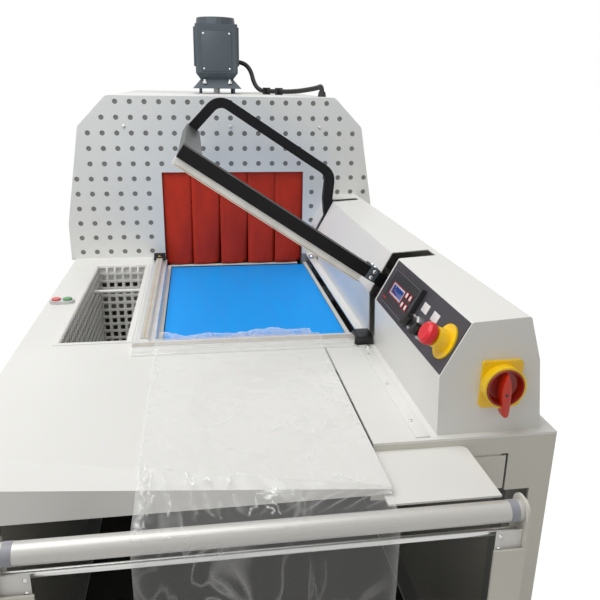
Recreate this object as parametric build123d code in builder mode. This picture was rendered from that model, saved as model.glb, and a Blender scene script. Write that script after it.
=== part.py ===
"""L bar sealer with a hot-air shrink tunnel on the same base, built as separate pieces.

Millimetres. X runs across the machine, Y along the product's travel and Z up, with the floor at Z = 0
and the origin under the middle of the machine. The seal arm is modelled raised, as it waits for a pack.
"""
import os
from math import atan2, ceil, cos, hypot, radians, sin, tan

from build123d import *

os.makedirs("parts", exist_ok=True)

# Whole machine
machine_length = 2466.0
machine_width = 954.0
deck_height = 900.0
sheet = 2.0
deck_sheet = 4.0
running_gap = 0.05
free_gap = 0.3
weld_gap = 0.2

# Cabinet
sealer_length = 1366.0
cradle_reach = 173.0
cabinet_left_inset = 13.0
foot_height = 60.0
foot_radius = 21.0
foot_stem_radius = 8.0
tube_side = 40.0
tube_wall = 3.0
front_post_setback = 60.0
beam_drop = 100.0
bay_left_margin = 44.0
bay_right_margin = 35.0
bay_bottom = 430.0
bay_drop = 103.0
cover_width = 198.0
cover_right_margin = 79.0
cover_height = 69.0
cover_gap = 4.0
vent_count = 8
vent_width = 120.0
vent_height = 6.0
vent_pitch = 18.0
vent_bottom = 240.0

# Decks and film tray
tray_right_inset = 309.0
tray_gap = 4.0
tray_left_setback = 47.0
tray_nose_reach = 112.0
fold_drop = 30.0
skirt_drop = 95.0
nose_thickness = 11.0
nose_lip = 3.0
fold_depth = 100.0
fold_wall = 3.0
platform_width = 164.0
platform_drop = 14.0
platform_sheet = 3.0
platform_flange = 30.0
platform_corner = 12.0

# Scrap bin
window_left_margin = 76.0
window_width = 148.0
window_length = 619.0
window_rear_margin = 100.0
bin_depth = 250.0
bin_clearance = 4.0
bin_rim = 8.0
bin_strip = 12.0
bin_wire = 1.5
bin_row_pitch = 40.0
bin_column_pitch = 48.0
bin_rod_radius = 5.0
bin_rod_drop = 40.0
bin_rod_setback = 120.0

# Seal lines and lower jaws
left_seal_inset = 258.0
front_seal_setback = 420.5
jaw_width = 66.0
left_jaw_width = 43.0
jaw_depth = 62.0
jaw_rise = 12.0
jaw_right_inset = 239.0
jaw_rear_margin = 50.0
pad_width = 16.0
pad_thickness = 2.0
magnet_length = 34.0
magnet_width = 42.0
magnet_height = 18.0

# Sealing conveyor
belt_right_inset = 230.0
belt_side_gap = 2.5
belt_drop = 29.0
belt_thickness = 2.0
roller_radius = 28.0
journal_radius = 10.0
side_frame = 10.0
belt_front_gap = 32.0
belt_motor_radius = 29.0
belt_motor_length = 130.0
belt_motor_flange = 58.0
belt_motor_flange_thickness = 12.0

# Seal arm
pivot_inset = 49.0
pivot_rise = 38.0
arm_open_angle = 33.4
arm_overhang = 21.0
arm_beam_right = 187.0
arm_beam_width = 40.0
arm_beam_height = 26.0
arm_jaw_right = 215.0
arm_jaw_width = 30.0
arm_jaw_height = 17.0
arm_rib_width = 14.0
arm_rib_height = 6.0
arm_closed_gap = 2.0
arm_plate = 16.0
arm_wall = 2.0
arm_tube = 28.0
arm_bridge_rise = 131.0
arm_leg_run = 39.0
arm_bridge_right = 227.0
rear_arm_setback = 100.0
shaft_radius = 8.0
hub_radius = 15.0
bearing_width = 20.0
bearing_gap = 18.0

# Arm housing: how far its folds lie in from the right side, and their heights above the deck
inner_foot_inset = 199.0
lower_ridge_inset = 203.0
lower_ridge_rise = 102.0
upper_ridge_inset = 157.0
upper_ridge_rise = 189.0
top_outer_inset = 63.0
top_outer_rise = 195.0
outer_fold_inset = 40.0
outer_fold_rise = 122.0
outer_foot_inset = 24.0
housing_fold_radius = 5.0
housing_front_setback = 12.0
front_slot_width = 49.0
rear_slot_width = 34.0
slot_reach_inset = 78.0

# Controls
panel_length = 371.0
panel_front_margin = 3.0
panel_edge = 2.5
panel_thickness = 1.5
controller_length = 152.0
controller_width = 76.0
controller_height = 10.0
controller_front = 186.0
display_length = 68.0
display_width = 24.0
key_size = 11.0
key_pitch = 19.0
selector_pitch = 48.0
selector_front = 115.0
selector_slope = 30.0
bezel_radius = 14.5
bezel_height = 8.0
knob_radius = 10.0
knob_height = 13.0
knob_lever_length = 28.0
knob_lever_width = 8.0
knob_lever_height = 12.0
estop_front = 38.0
estop_slope = 47.0
estop_disc_radius = 30.0
estop_disc_height = 3.0
estop_collar_radius = 19.0
estop_collar_height = 20.0
estop_button_radius = 18.0
estop_button_height = 15.0
estop_stem_radius = 8.0
estop_travel = 5.0
isolator_width = 66.0
isolator_height = 78.0
isolator_thickness = 6.0
isolator_inset = 103.0
isolator_rise = 87.0
isolator_ring_radius = 34.0
isolator_ring_wall = 3.0
isolator_ring_depth = 16.0
isolator_handle_length = 76.0
isolator_handle_width = 14.0
isolator_handle_depth = 26.0
isolator_stud_radius = 5.0
button_box_length = 60.0
button_box_width = 34.0
button_box_height = 8.0
button_box_left = 37.0
button_box_setback = 436.0
button_radius = 11.0
button_proud = 4.0
button_travel = 3.0
button_pitch = 27.0

# Tunnel hood
hood_height = 487.0
hood_shoulder_drop = 88.0
hood_skirt_height = 108.0
hood_top_inset = 136.0
hood_shoulder_inset = 50.0
hood_corner_radius = 18.0
hole_radius = 7.5
hole_sides = 6
hole_pitch_x = 42.0
hole_pitch_z = 45.0
hole_top_margin = 17.0
hole_side_margin = 11.5
hole_mouth_margin = 20.0
hole_rows = 11
mouth_side_gap = 6.5
mouth_right_gap = 14.5
mouth_height = 264.0
chamber_wall = 30.0
chamber_drop = 97.0
chamber_roof = 30.0
rod_radius = 4.0
hem_wall = 3.0
strip_count = 5
strip_gap = 0.6
strip_thickness = 2.5
strip_rod_rise = 8.0
strip_rod_setback = 8.0
strip_belt_gap = 5.0
exit_rod_setback = 20.0
heater_radius = 6.0
heater_end_gap = 200.0
heater_drop = 60.0
heater_wall_gap = 28.0
fan_wall_gap = 61.0
fan_height = 60.0
fan_roof_gap = 15.0
fan_blades = 8
fan_blade_thickness = 3.0
fan_shaft_radius = 12.0
fan_shaft_hole = 18.0

# Tunnel conveyor
tunnel_belt_inset = 31.0
tunnel_belt_step = 3.0
tunnel_rail = 12.0
tunnel_rail_gap = 6.0
tunnel_rail_height = 60.0

# Fan motor and its cable
motor_side = 151.0
motor_height = 165.0
motor_foot_side = 176.0
motor_neck_side = 118.0
motor_neck_height = 32.0
motor_stand = 18.0
motor_stud_radius = 5.0
motor_stud_pitch = 120.0
motor_corner = 22.0
cap_height = 24.0
cable_radius = 8.0
gland_side_gap = 16.0
gland_front_gap = 137.0
gland_radius = 14.0
gland_height = 16.0
clip_length = 14.0
clip_wall = 4.0
clip_shares = (0.15, 0.82)
gland_run_share = 0.426
bend_share = 0.45

# Film
film_thickness = 0.8
film_left_gap = 24.0
film_right_gap = 2.0
film_tail = 48.0
guide_radius = 15.0
guide_journal = 5.0
guide_rod_radius = 5.0
guide_rod_drop = 35.0
guide_front_margin = 6.0
guide_drop = 27.0
cheek_inset = 135.0
cheek_sheet = 4.0
cheek_depth = 45.0
cheek_top_gap = 5.0
cheek_bottom = 330.0
cheek_flange = 42.0
spindle_height = 498.0
roll_radius = 90.0
roll_core = 38.0
spindle_radius = 12.0
spindle_journal = 10.0

# Places that follow from the sizes above
hood_length = machine_length - sealer_length
front_reach = -machine_length / 2
hood_rear = machine_length / 2
hood_front = hood_rear - hood_length
cabinet_front = front_reach + cradle_reach
deck_right = machine_width / 2
front_seal_y = cabinet_front + front_seal_setback
deck_left = cabinet_left_inset - machine_width / 2
deck_under = deck_height - deck_sheet
beam_top = deck_height - beam_drop
left_seal_x = deck_left + left_seal_inset
post_left = deck_left + sheet + tube_side / 2
post_right = deck_right - sheet - tube_side / 2
post_ys = (cabinet_front + front_post_setback + tube_side / 2, hood_front, hood_rear - sheet - tube_side / 2)
rear_arm_y = hood_front - rear_arm_setback
pivot_x = deck_right - pivot_inset
pivot_z = deck_height + pivot_rise
arm_reach = pivot_x - left_seal_x + arm_overhang
arm_bridge_left = arm_reach - arm_leg_run
arm_angle = radians(arm_open_angle)
housing_inner_foot = deck_right - inner_foot_inset
housing_lower_ridge = (deck_right - lower_ridge_inset, lower_ridge_rise)
housing_upper_ridge = (deck_right - upper_ridge_inset, upper_ridge_rise)
housing_top_outer = (deck_right - top_outer_inset, top_outer_rise)
housing_outer_fold = (deck_right - outer_fold_inset, outer_fold_rise)
housing_outer_foot = deck_right - outer_foot_inset
slot_reach_x = deck_right - slot_reach_inset
pad_top = deck_height + jaw_rise + pad_thickness
jaw_bottom = deck_height + jaw_rise - jaw_depth
jaw_front = front_seal_y - jaw_width / 2
jaw_rear = front_seal_y + jaw_width / 2
jaw_right_x = deck_right - jaw_right_inset
left_jaw_left = left_seal_x - left_jaw_width / 2
left_jaw_right = left_seal_x + left_jaw_width / 2
belt_left = left_jaw_right + side_frame + belt_side_gap
belt_right = deck_right - belt_right_inset
belt_width = belt_right - belt_left
frame_right = belt_right + belt_side_gap + side_frame
belt_top = deck_height - belt_drop
roller_z = belt_top - belt_thickness - roller_radius
front_roller_y = jaw_rear + belt_front_gap + roller_radius + belt_thickness
rear_roller_y = hood_front - roller_radius - belt_thickness
mouth_left = left_jaw_right - mouth_side_gap
fan_radius = -mouth_left - fan_wall_gap
mouth_right = frame_right - mouth_right_gap
mouth_width = mouth_right - mouth_left
mouth_top = deck_height + mouth_height
hood_top = deck_height + hood_height
chamber_top = hood_top - chamber_drop
hood_middle_y = (hood_front + hood_rear) / 2
window_left = deck_left + window_left_margin
window_right = window_left + window_width
window_rear = hood_front - window_rear_margin
window_front = window_rear - window_length
bay_left = deck_left + bay_left_margin
bay_right = deck_right - bay_right_margin
bay_top = deck_height - bay_drop
nose_y = cabinet_front - tray_nose_reach
tray_right = deck_right - tray_right_inset
film_left = left_seal_x + film_left_gap
film_right = tray_right - film_right_gap
guide_y = front_reach + guide_front_margin + guide_radius
guide_z = deck_height - guide_drop
spindle_y = guide_y - guide_radius + roll_radius
cheek_half_span = machine_width / 2 - cheek_inset


def across(y):
    """Plane across the machine at Y = y: its x is X, its y is Z, and it extrudes towards the front."""
    return Plane.XZ.offset(-y)


def along(x):
    """Plane along the machine at X = x: its x is Y, its y is Z, and it extrudes towards +X."""
    return Plane.YZ.offset(x)


def level(z):
    """Horizontal plane at Z = z."""
    return Plane.XY.offset(z)


def save(builder, node):
    """Label a finished piece and write it as its own file."""
    builder.part.label = node
    export_step(builder.part, f"parts/{node}.step")


# Cabinet frame: posts, side rails at three heights and cross beams, all of square tube
rail_tops = (foot_height + tube_side, beam_top, deck_under)
front_beam_y = jaw_rear - tube_side / 2 + 12
rear_beam_y = window_rear + tube_side / 2 + 20
tunnel_beam_ys = (hood_front + 100, hood_rear - 90)
frame_tubes = []
for post_x in (post_left, post_right):
    for post_y in post_ys:
        post_plane = Plane(origin=(post_x, post_y, foot_height), z_dir=(0, 0, 1))
        frame_tubes.append((post_plane, deck_under - foot_height))
    for rail_top in rail_tops:
        for start_y, end_y in zip(post_ys, post_ys[1:]):
            rail_start = (post_x, start_y + tube_side / 2 + weld_gap, rail_top - tube_side / 2)
            rail_plane = Plane(origin=rail_start, x_dir=(1, 0, 0), z_dir=(0, 1, 0))
            frame_tubes.append((rail_plane, end_y - start_y - tube_side - 2 * weld_gap))
beam_length = post_right - post_left - tube_side - 2 * weld_gap
beam_places = [(y, rail_tops[0]) for y in post_ys]
beam_places += [(y, beam_top) for y in (front_beam_y, rear_beam_y, *tunnel_beam_ys)]
for beam_y, top in beam_places:
    beam_start = (post_left + tube_side / 2 + weld_gap, beam_y, top - tube_side / 2)
    frame_tubes.append((Plane(origin=beam_start, x_dir=(0, 1, 0), z_dir=(1, 0, 0)), beam_length))
with BuildPart() as cabinet_frame:
    for tube_plane, tube_length in frame_tubes:
        with BuildSketch(tube_plane):
            Rectangle(tube_side, tube_side)
            Rectangle(tube_side - 2 * tube_wall, tube_side - 2 * tube_wall, mode=Mode.SUBTRACT)
        extrude(amount=tube_length)
save(cabinet_frame, "cabinet_frame")

# Levelling feet under the posts: pad, stem and a square plate that closes the tube's end
pad_height = 12.0
plate_height = 6.0
foot_sides = 16
stem_sides = 6
with BuildPart() as levelling_feet:
    foot_places = [(x, y) for x in (post_left, post_right) for y in post_ys]
    with BuildSketch(level(0)):
        with Locations(*foot_places):
            RegularPolygon(foot_radius, foot_sides)
    extrude(amount=pad_height, taper=25)
    with BuildSketch(level(pad_height)):
        with Locations(*foot_places):
            RegularPolygon(foot_stem_radius, stem_sides)
    extrude(amount=foot_height - pad_height - plate_height)
    with BuildSketch(level(foot_height - plate_height)):
        with Locations(*foot_places):
            Rectangle(tube_side, tube_side)
    extrude(amount=plate_height)
save(levelling_feet, "levelling_feet")

# Side and rear panels with louvre slots, the base pan on the lower beams, and the access cover that hooks
# behind the front panel
panel_height = deck_under - foot_height
cover_right = deck_right - cover_right_margin
cover_left = cover_right - cover_width
cover_hook = 12.0
with BuildPart() as cabinet_panels:
    with BuildSketch(along(deck_left)):
        Polygon(
            (cabinet_front + sheet, foot_height),
            (hood_rear - sheet - weld_gap, foot_height),
            (hood_rear - sheet - weld_gap, deck_under),
            (cabinet_front + tray_left_setback, deck_under),
            (cabinet_front + sheet, deck_height - fold_drop),
            align=None,
        )
        with Locations((hood_middle_y, vent_bottom)):
            with GridLocations(0, vent_pitch, 1, vent_count):
                Rectangle(vent_width, vent_height, mode=Mode.SUBTRACT)
    extrude(amount=sheet)
    with BuildSketch(along(deck_right - sheet)):
        Polygon(
            (cabinet_front + sheet, foot_height),
            (hood_rear - sheet - weld_gap, foot_height),
            (hood_rear - sheet - weld_gap, deck_under),
            (cabinet_front + sheet, deck_under),
            align=None,
        )
        with Locations((hood_middle_y, vent_bottom)):
            with GridLocations(0, vent_pitch, 1, vent_count):
                Rectangle(vent_width, vent_height, mode=Mode.SUBTRACT)
    extrude(amount=sheet)
    with BuildSketch(across(hood_rear)):
        with Locations(((deck_left + deck_right) / 2, foot_height + panel_height / 2)):
            Rectangle(deck_right - deck_left, panel_height)
    extrude(amount=sheet)
    with BuildSketch(level(rail_tops[0])):
        with Locations(((post_left + post_right) / 2, (post_ys[0] + post_ys[-1]) / 2)):
            Rectangle(beam_length, post_ys[-1] - post_ys[0] + tube_side - 2 * weld_gap)
    extrude(amount=sheet)
    with BuildSketch(across(cabinet_front)):
        with Locations(((cover_left + cover_right) / 2, bay_top + cover_height / 2)):
            Rectangle(cover_width - 2 * cover_gap, cover_height - 2 * cover_gap)
    extrude(amount=-2 * sheet)
    with BuildSketch(across(cabinet_front + sheet)):
        with Locations(((cover_left + cover_right) / 2, bay_top + cover_height - cover_gap)):
            Rectangle(cover_width - 6 * cover_gap, 2 * cover_hook)
    extrude(amount=-sheet)
save(cabinet_panels, "cabinet_panels")

# Front panel with the film bay; its upper left corner is left open for the folded tray front
with BuildPart() as front_panel:
    with BuildSketch(across(cabinet_front)):
        Polygon(
            (deck_left, foot_height),
            (deck_right, foot_height),
            (deck_right, deck_under),
            (tray_right + tray_gap, deck_under),
            (tray_right + tray_gap, bay_top),
            (cover_left, bay_top),
            (cover_left, bay_top + cover_height),
            (cover_right, bay_top + cover_height),
            (cover_right, bay_top),
            (bay_right, bay_top),
            (bay_right, bay_bottom),
            (bay_left, bay_bottom),
            (bay_left, bay_top),
            (deck_left, bay_top),
            align=None,
        )
    extrude(amount=-sheet)
save(front_panel, "front_panel")

# Separator deck: the left deck and the film tray are one sheet, folded down along a slanted front edge
fold_x = deck_left + sheet
tray_left_y = cabinet_front + tray_left_setback
fold_rear = tray_left_y + fold_depth - tray_left_setback
tray_slope = (nose_y - tray_left_y) / (tray_right - fold_x)
with BuildPart() as separator_deck:
    with BuildSketch(level(deck_under)):
        Polygon(
            (deck_left, hood_front),
            (left_jaw_left, hood_front),
            (left_jaw_left, jaw_front),
            (tray_right, jaw_front),
            (tray_right, nose_y),
            (fold_x, tray_left_y),
            (deck_left, tray_left_y),
            align=None,
        )
        with Locations(((window_left + window_right) / 2, (window_front + window_rear) / 2)):
            Rectangle(window_width, window_length, mode=Mode.SUBTRACT)
    extrude(amount=deck_sheet)
    with BuildSketch(along(fold_x)):
        Polygon(
            (fold_rear, deck_height),
            (tray_left_y, deck_height),
            (cabinet_front, deck_height - fold_drop),
            (cabinet_front, deck_height - skirt_drop),
            (fold_rear, deck_height - skirt_drop),
            align=None,
        )
    with BuildSketch(along(tray_right)):
        Polygon(
            (fold_rear, deck_height),
            (nose_y, deck_height),
            (nose_y - nose_lip, deck_height - nose_lip),
            (nose_y - nose_lip, deck_height - nose_thickness),
            (fold_rear, deck_height - nose_thickness),
            align=None,
        )
    loft(ruled=True)
    with BuildSketch(along(fold_x)):
        Polygon(
            (fold_rear + 1, deck_under),
            (tray_left_y + fold_wall / 2, deck_under),
            (cabinet_front + fold_wall, deck_height - fold_drop - fold_wall / 2),
            (cabinet_front + fold_wall, deck_height - skirt_drop - 1),
            (fold_rear + 1, deck_height - skirt_drop - 1),
            align=None,
        )
    with BuildSketch(along(tray_right - fold_wall)):
        Polygon(
            (fold_rear + 1, deck_under),
            (nose_y + fold_wall, deck_under),
            (nose_y - nose_lip + fold_wall, deck_under - 1),
            (nose_y - nose_lip + fold_wall, deck_height - nose_thickness - 1),
            (fold_rear + 1, deck_height - nose_thickness - 1),
            align=None,
        )
    loft(ruled=True, mode=Mode.SUBTRACT)
save(separator_deck, "separator_deck")

# Right deck beside the conveyor, under the arm housing
with BuildPart() as right_deck:
    with BuildSketch(level(deck_under)):
        Polygon(
            (tray_right + tray_gap, cabinet_front),
            (deck_right, cabinet_front),
            (deck_right, hood_front),
            (frame_right, hood_front),
            (frame_right, jaw_front),
            (tray_right + tray_gap, jaw_front),
            align=None,
        )
    extrude(amount=deck_sheet)
save(right_deck, "right_deck")

# Plates under the tunnel hood, beside the chamber
with BuildPart() as tunnel_base_plates:
    with BuildSketch(level(deck_under)):
        Polygon(
            (-machine_width / 2, hood_front),
            (mouth_left - chamber_wall, hood_front),
            (mouth_left - chamber_wall, hood_rear),
            (-machine_width / 2, hood_rear),
            align=None,
        )
        Polygon(
            (mouth_right + chamber_wall, hood_front),
            (deck_right, hood_front),
            (deck_right, hood_rear),
            (mouth_right + chamber_wall, hood_rear),
            align=None,
        )
    extrude(amount=deck_sheet)
save(tunnel_base_plates, "tunnel_base_plates")

# Lower film platform: a shelf on the cabinet's front with a flange that is bolted to it
platform_left = tray_right - 10
platform_right = platform_left + platform_width
platform_front = guide_y + guide_radius + 3
platform_top = deck_height - platform_drop
with BuildPart() as film_platform:
    with BuildSketch(level(platform_top - platform_sheet)) as platform_outline:
        Polygon(
            (platform_left, platform_front),
            (platform_right, platform_front),
            (platform_right, cabinet_front),
            (platform_left, cabinet_front),
            align=None,
        )
        fillet(platform_outline.vertices().sort_by(Axis.X)[2:].sort_by(Axis.Y)[-1:], platform_corner)
    extrude(amount=platform_sheet)
    with BuildSketch(across(cabinet_front)):
        with Locations((
            (tray_right + tray_gap + platform_right - platform_corner) / 2,
            platform_top - platform_flange / 2,
        )):
            Rectangle(platform_right - platform_corner - tray_right - tray_gap, platform_flange)
    extrude(amount=platform_sheet)
save(film_platform, "film_platform")

# Lower jaws: stepped extrusions under the front and left seal lines
step_width = 12.0
step_drop = 9.0
with BuildPart() as lower_jaws:
    with BuildSketch(along(left_jaw_left)):
        Polygon(
            (jaw_front, jaw_bottom),
            (jaw_rear, jaw_bottom),
            (jaw_rear, deck_height),
            (jaw_rear - step_width, deck_height + jaw_rise),
            (jaw_front + 2 * step_width, deck_height + jaw_rise),
            (jaw_front + 2 * step_width, deck_height + jaw_rise - step_drop / 2),
            (jaw_front + step_width, deck_height + jaw_rise - step_drop / 2),
            (jaw_front + step_width, deck_height + jaw_rise - step_drop),
            (jaw_front, deck_height + jaw_rise - step_drop),
            align=None,
        )
    extrude(amount=jaw_right_x - left_jaw_left)
    with BuildSketch(across(hood_front - jaw_rear_margin)):
        Polygon(
            (left_jaw_left, jaw_bottom),
            (left_jaw_right, jaw_bottom),
            (left_jaw_right, deck_height + jaw_rise - step_drop),
            (left_jaw_right - step_width, deck_height + jaw_rise - step_drop),
            (left_jaw_right - step_width, deck_height + jaw_rise),
            (left_jaw_left + step_width, deck_height + jaw_rise),
            (left_jaw_left + step_width, deck_height + jaw_rise - step_drop),
            (left_jaw_left, deck_height + jaw_rise - step_drop),
            align=None,
        )
    extrude(amount=hood_front - jaw_rear_margin - jaw_rear - weld_gap)
save(lower_jaws, "lower_jaws")

# Seal pads on the jaws
pad_z = deck_height + jaw_rise
with BuildPart() as seal_pads:
    with BuildSketch(level(pad_z)):
        Polygon(
            (left_jaw_left, front_seal_y - pad_width / 2),
            (jaw_right_x, front_seal_y - pad_width / 2),
            (jaw_right_x, front_seal_y + pad_width / 2),
            (left_jaw_left, front_seal_y + pad_width / 2),
            align=None,
        )
        Polygon(
            (left_seal_x - pad_width / 2, jaw_rear + weld_gap),
            (left_seal_x + pad_width / 2, jaw_rear + weld_gap),
            (left_seal_x + pad_width / 2, hood_front - jaw_rear_margin),
            (left_seal_x - pad_width / 2, hood_front - jaw_rear_margin),
            align=None,
        )
    extrude(amount=pad_thickness)
save(seal_pads, "seal_pads")

# Magnet block that holds the arm down while the film is sealed
with BuildPart() as magnet_block:
    with BuildSketch(level(deck_height)):
        with Locations((jaw_right_x + magnet_length / 2, front_seal_y)):
            Rectangle(magnet_length, magnet_width)
    extrude(amount=magnet_height)
    chamfer(magnet_block.faces().sort_by(Axis.Z)[-1].edges().filter_by(Axis.X), 3)
save(magnet_block, "magnet_block")

# Conveyor side frames: they stand on the cross beams and carry the rollers and the front jaw
frame_front = front_beam_y - tube_side / 2
frame_outline = (
    (frame_front, beam_top),
    (hood_front, beam_top),
    (hood_front, belt_top),
    (jaw_rear, belt_top),
    (jaw_rear, jaw_bottom),
    (frame_front, jaw_bottom),
)
with BuildPart() as conveyor_side_frames:
    for frame_x in (left_jaw_right, frame_right - side_frame):
        with BuildSketch(along(frame_x)):
            Polygon(*frame_outline, align=None)
            with Locations((front_roller_y, roller_z), (rear_roller_y, roller_z)):
                Circle(journal_radius + running_gap, mode=Mode.SUBTRACT)
        extrude(amount=side_frame)
save(conveyor_side_frames, "conveyor_side_frames")

# Sealing belt: a closed loop round the two rollers
belt_span = rear_roller_y - front_roller_y
belt_radius = roller_radius + belt_thickness
with BuildPart() as conveyor_belt:
    with BuildSketch(along(belt_left)):
        with Locations(((front_roller_y + rear_roller_y) / 2, roller_z)):
            SlotCenterToCenter(belt_span, 2 * belt_radius)
            SlotCenterToCenter(belt_span, 2 * roller_radius, mode=Mode.SUBTRACT)
    extrude(amount=belt_width)
save(conveyor_belt, "conveyor_belt")

# Belt rollers with journals in the side frames
for roller_name, roller_y in (("drive_roller", rear_roller_y), ("idler_roller", front_roller_y)):
    with BuildPart() as belt_roller:
        with BuildSketch(along(belt_left)):
            with Locations((roller_y, roller_z)):
                Circle(roller_radius - free_gap)
        extrude(amount=belt_width)
        with BuildSketch(along(left_jaw_right + free_gap)):
            with Locations((roller_y, roller_z)):
                Circle(journal_radius)
        extrude(amount=frame_right - left_jaw_right - 2 * free_gap)
    save(belt_roller, roller_name)

# Belt gearmotor on the outside of the right side frame
with BuildPart() as belt_motor:
    with BuildSketch(along(frame_right)):
        with Locations((rear_roller_y, roller_z)):
            RectangleRounded(belt_motor_flange, 2 * belt_motor_radius, 8)
    extrude(amount=belt_motor_flange_thickness)
    with BuildSketch(along(frame_right + belt_motor_flange_thickness)):
        with Locations((rear_roller_y, roller_z)):
            Circle(belt_motor_radius)
    extrude(amount=belt_motor_length)
    chamfer(belt_motor.faces().sort_by(Axis.X)[-1].edges(), 6)
save(belt_motor, "belt_motor")

# Scrap bin: a basket of crossed strips that hangs by its rim in the deck window and lifts out
bin_left = window_left + bin_clearance
bin_right = window_right - bin_clearance
bin_front = window_front + bin_clearance
bin_rear = window_rear - bin_clearance
bin_floor = deck_height - bin_depth
bin_rows = int((bin_depth - bin_strip) // bin_row_pitch)
long_columns = ceil((bin_rear - bin_front) / bin_column_pitch)
short_columns = ceil((bin_right - bin_left) / bin_column_pitch)
row_zs = [deck_height - bin_row_pitch / 2 - row * bin_row_pitch for row in range(bin_rows)]
column_height = bin_depth - 2 * weld_gap - bin_wire
column_z = bin_floor + bin_wire + weld_gap + column_height / 2
inner_layer = 1.5 * bin_wire + weld_gap
bin_wall = inner_layer + bin_wire / 2
bin_inner_width = bin_right - bin_left - 2 * bin_wall
bin_inner_length = bin_rear - bin_front - 2 * bin_wall
bin_middle = ((bin_left + bin_right) / 2, (bin_front + bin_rear) / 2)
with BuildPart() as scrap_bin:
    with BuildSketch(level(deck_height)):
        with Locations(bin_middle):
            Rectangle(window_width + 2 * bin_rim, window_length + 2 * bin_rim)
            Rectangle(bin_inner_width, bin_inner_length, mode=Mode.SUBTRACT)
    extrude(amount=bin_wire)
    with BuildSketch(level(bin_floor)):
        with Locations(bin_middle):
            Rectangle(bin_right - bin_left, bin_rear - bin_front)
    extrude(amount=bin_wire)
    for side_x, inward in ((bin_left, 1), (bin_right, -1)):
        with Locations(*[(side_x + inward * bin_wire / 2, bin_middle[1], z) for z in row_zs]):
            Box(bin_wire, bin_rear - bin_front - 4 * bin_wire, bin_strip)
        with Locations((side_x + inward * inner_layer, bin_middle[1], column_z)):
            with GridLocations(0, (bin_rear - bin_front - 60) / (long_columns - 1), 1, long_columns):
                Box(bin_wire, bin_strip, column_height)
    for end_y, inward in ((bin_front, 1), (bin_rear, -1)):
        with Locations(*[(bin_middle[0], end_y + inward * bin_wire / 2, z) for z in row_zs]):
            Box(bin_right - bin_left - 4 * bin_wire, bin_wire, bin_strip)
        with Locations((bin_middle[0], end_y + inward * inner_layer, column_z)):
            with GridLocations((bin_right - bin_left - 50) / (short_columns - 1), 0, short_columns, 1):
                Box(bin_strip, bin_wire, column_height)
    with BuildSketch(along(bin_left + bin_wall + weld_gap)):
        with Locations((bin_rear - bin_rod_setback, deck_height - bin_rod_drop)):
            Circle(bin_rod_radius)
    extrude(amount=bin_inner_width - 2 * weld_gap)
save(scrap_bin, "scrap_bin")


def arm_plane(y):
    """Plane across the seal arm at Y = y, turned with the raised arm about its pivot."""
    x_axis = (cos(arm_angle), 0, -sin(arm_angle))
    return Plane(origin=(pivot_x, y, pivot_z), x_dir=x_axis, z_dir=(0, -1, 0))


# Heights on the arm, measured square to it from the pivot
arm_jaw_bottom = pad_top + arm_closed_gap - pivot_z
arm_jaw_top = arm_jaw_bottom + arm_jaw_height
arm_beam_top = arm_jaw_top + arm_beam_height
left_beam_u = left_seal_x - pivot_x

# Front beam: a channel over the jaw, carried by a plate that reaches to the shaft
with BuildPart() as arm_front_beam:
    with BuildSketch(arm_plane(front_seal_y)):
        with Locations((-(arm_reach + arm_beam_right) / 2, (arm_jaw_top + arm_beam_top) / 2)):
            Rectangle(arm_reach - arm_beam_right, arm_beam_height)
    extrude(amount=arm_beam_width / 2, both=True)
    with BuildSketch(arm_plane(front_seal_y)):
        with Locations((
            -(arm_reach + arm_beam_right) / 2,
            (arm_jaw_top + arm_beam_top - arm_wall) / 2,
        )):
            Rectangle(arm_reach - arm_beam_right - 2 * arm_wall, arm_beam_height - arm_wall)
    extrude(amount=arm_beam_width / 2 - arm_wall, both=True, mode=Mode.SUBTRACT)
    with BuildSketch(arm_plane(front_seal_y)):
        Polygon(
            (-arm_beam_right - 60, arm_jaw_top),
            (-arm_beam_right, arm_jaw_top),
            (0, -hub_radius),
            (0, hub_radius),
            (-arm_beam_right, arm_beam_top - arm_wall / 2),
            (-arm_beam_right - 60, arm_beam_top - arm_wall / 2),
            align=None,
        )
        Circle(hub_radius)
        Circle(shaft_radius + running_gap, mode=Mode.SUBTRACT)
    extrude(amount=arm_plate / 2, both=True)
save(arm_front_beam, "arm_front_beam")

# Left beam along the left seal line
left_beam_front = front_seal_y + arm_beam_width / 2
left_beam_rear = rear_arm_y - arm_tube / 2
with BuildPart() as arm_left_beam:
    with BuildSketch(arm_plane(left_beam_rear)):
        with Locations((left_beam_u, (arm_jaw_top + arm_beam_top) / 2)):
            Rectangle(arm_beam_width, arm_beam_height)
        with Locations((left_beam_u, (arm_jaw_top + arm_beam_top - arm_wall) / 2)):
            Rectangle(arm_beam_width - 2 * arm_wall, arm_beam_height - arm_wall, mode=Mode.SUBTRACT)
    extrude(amount=left_beam_rear - left_beam_front)
save(arm_left_beam, "arm_left_beam")

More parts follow.
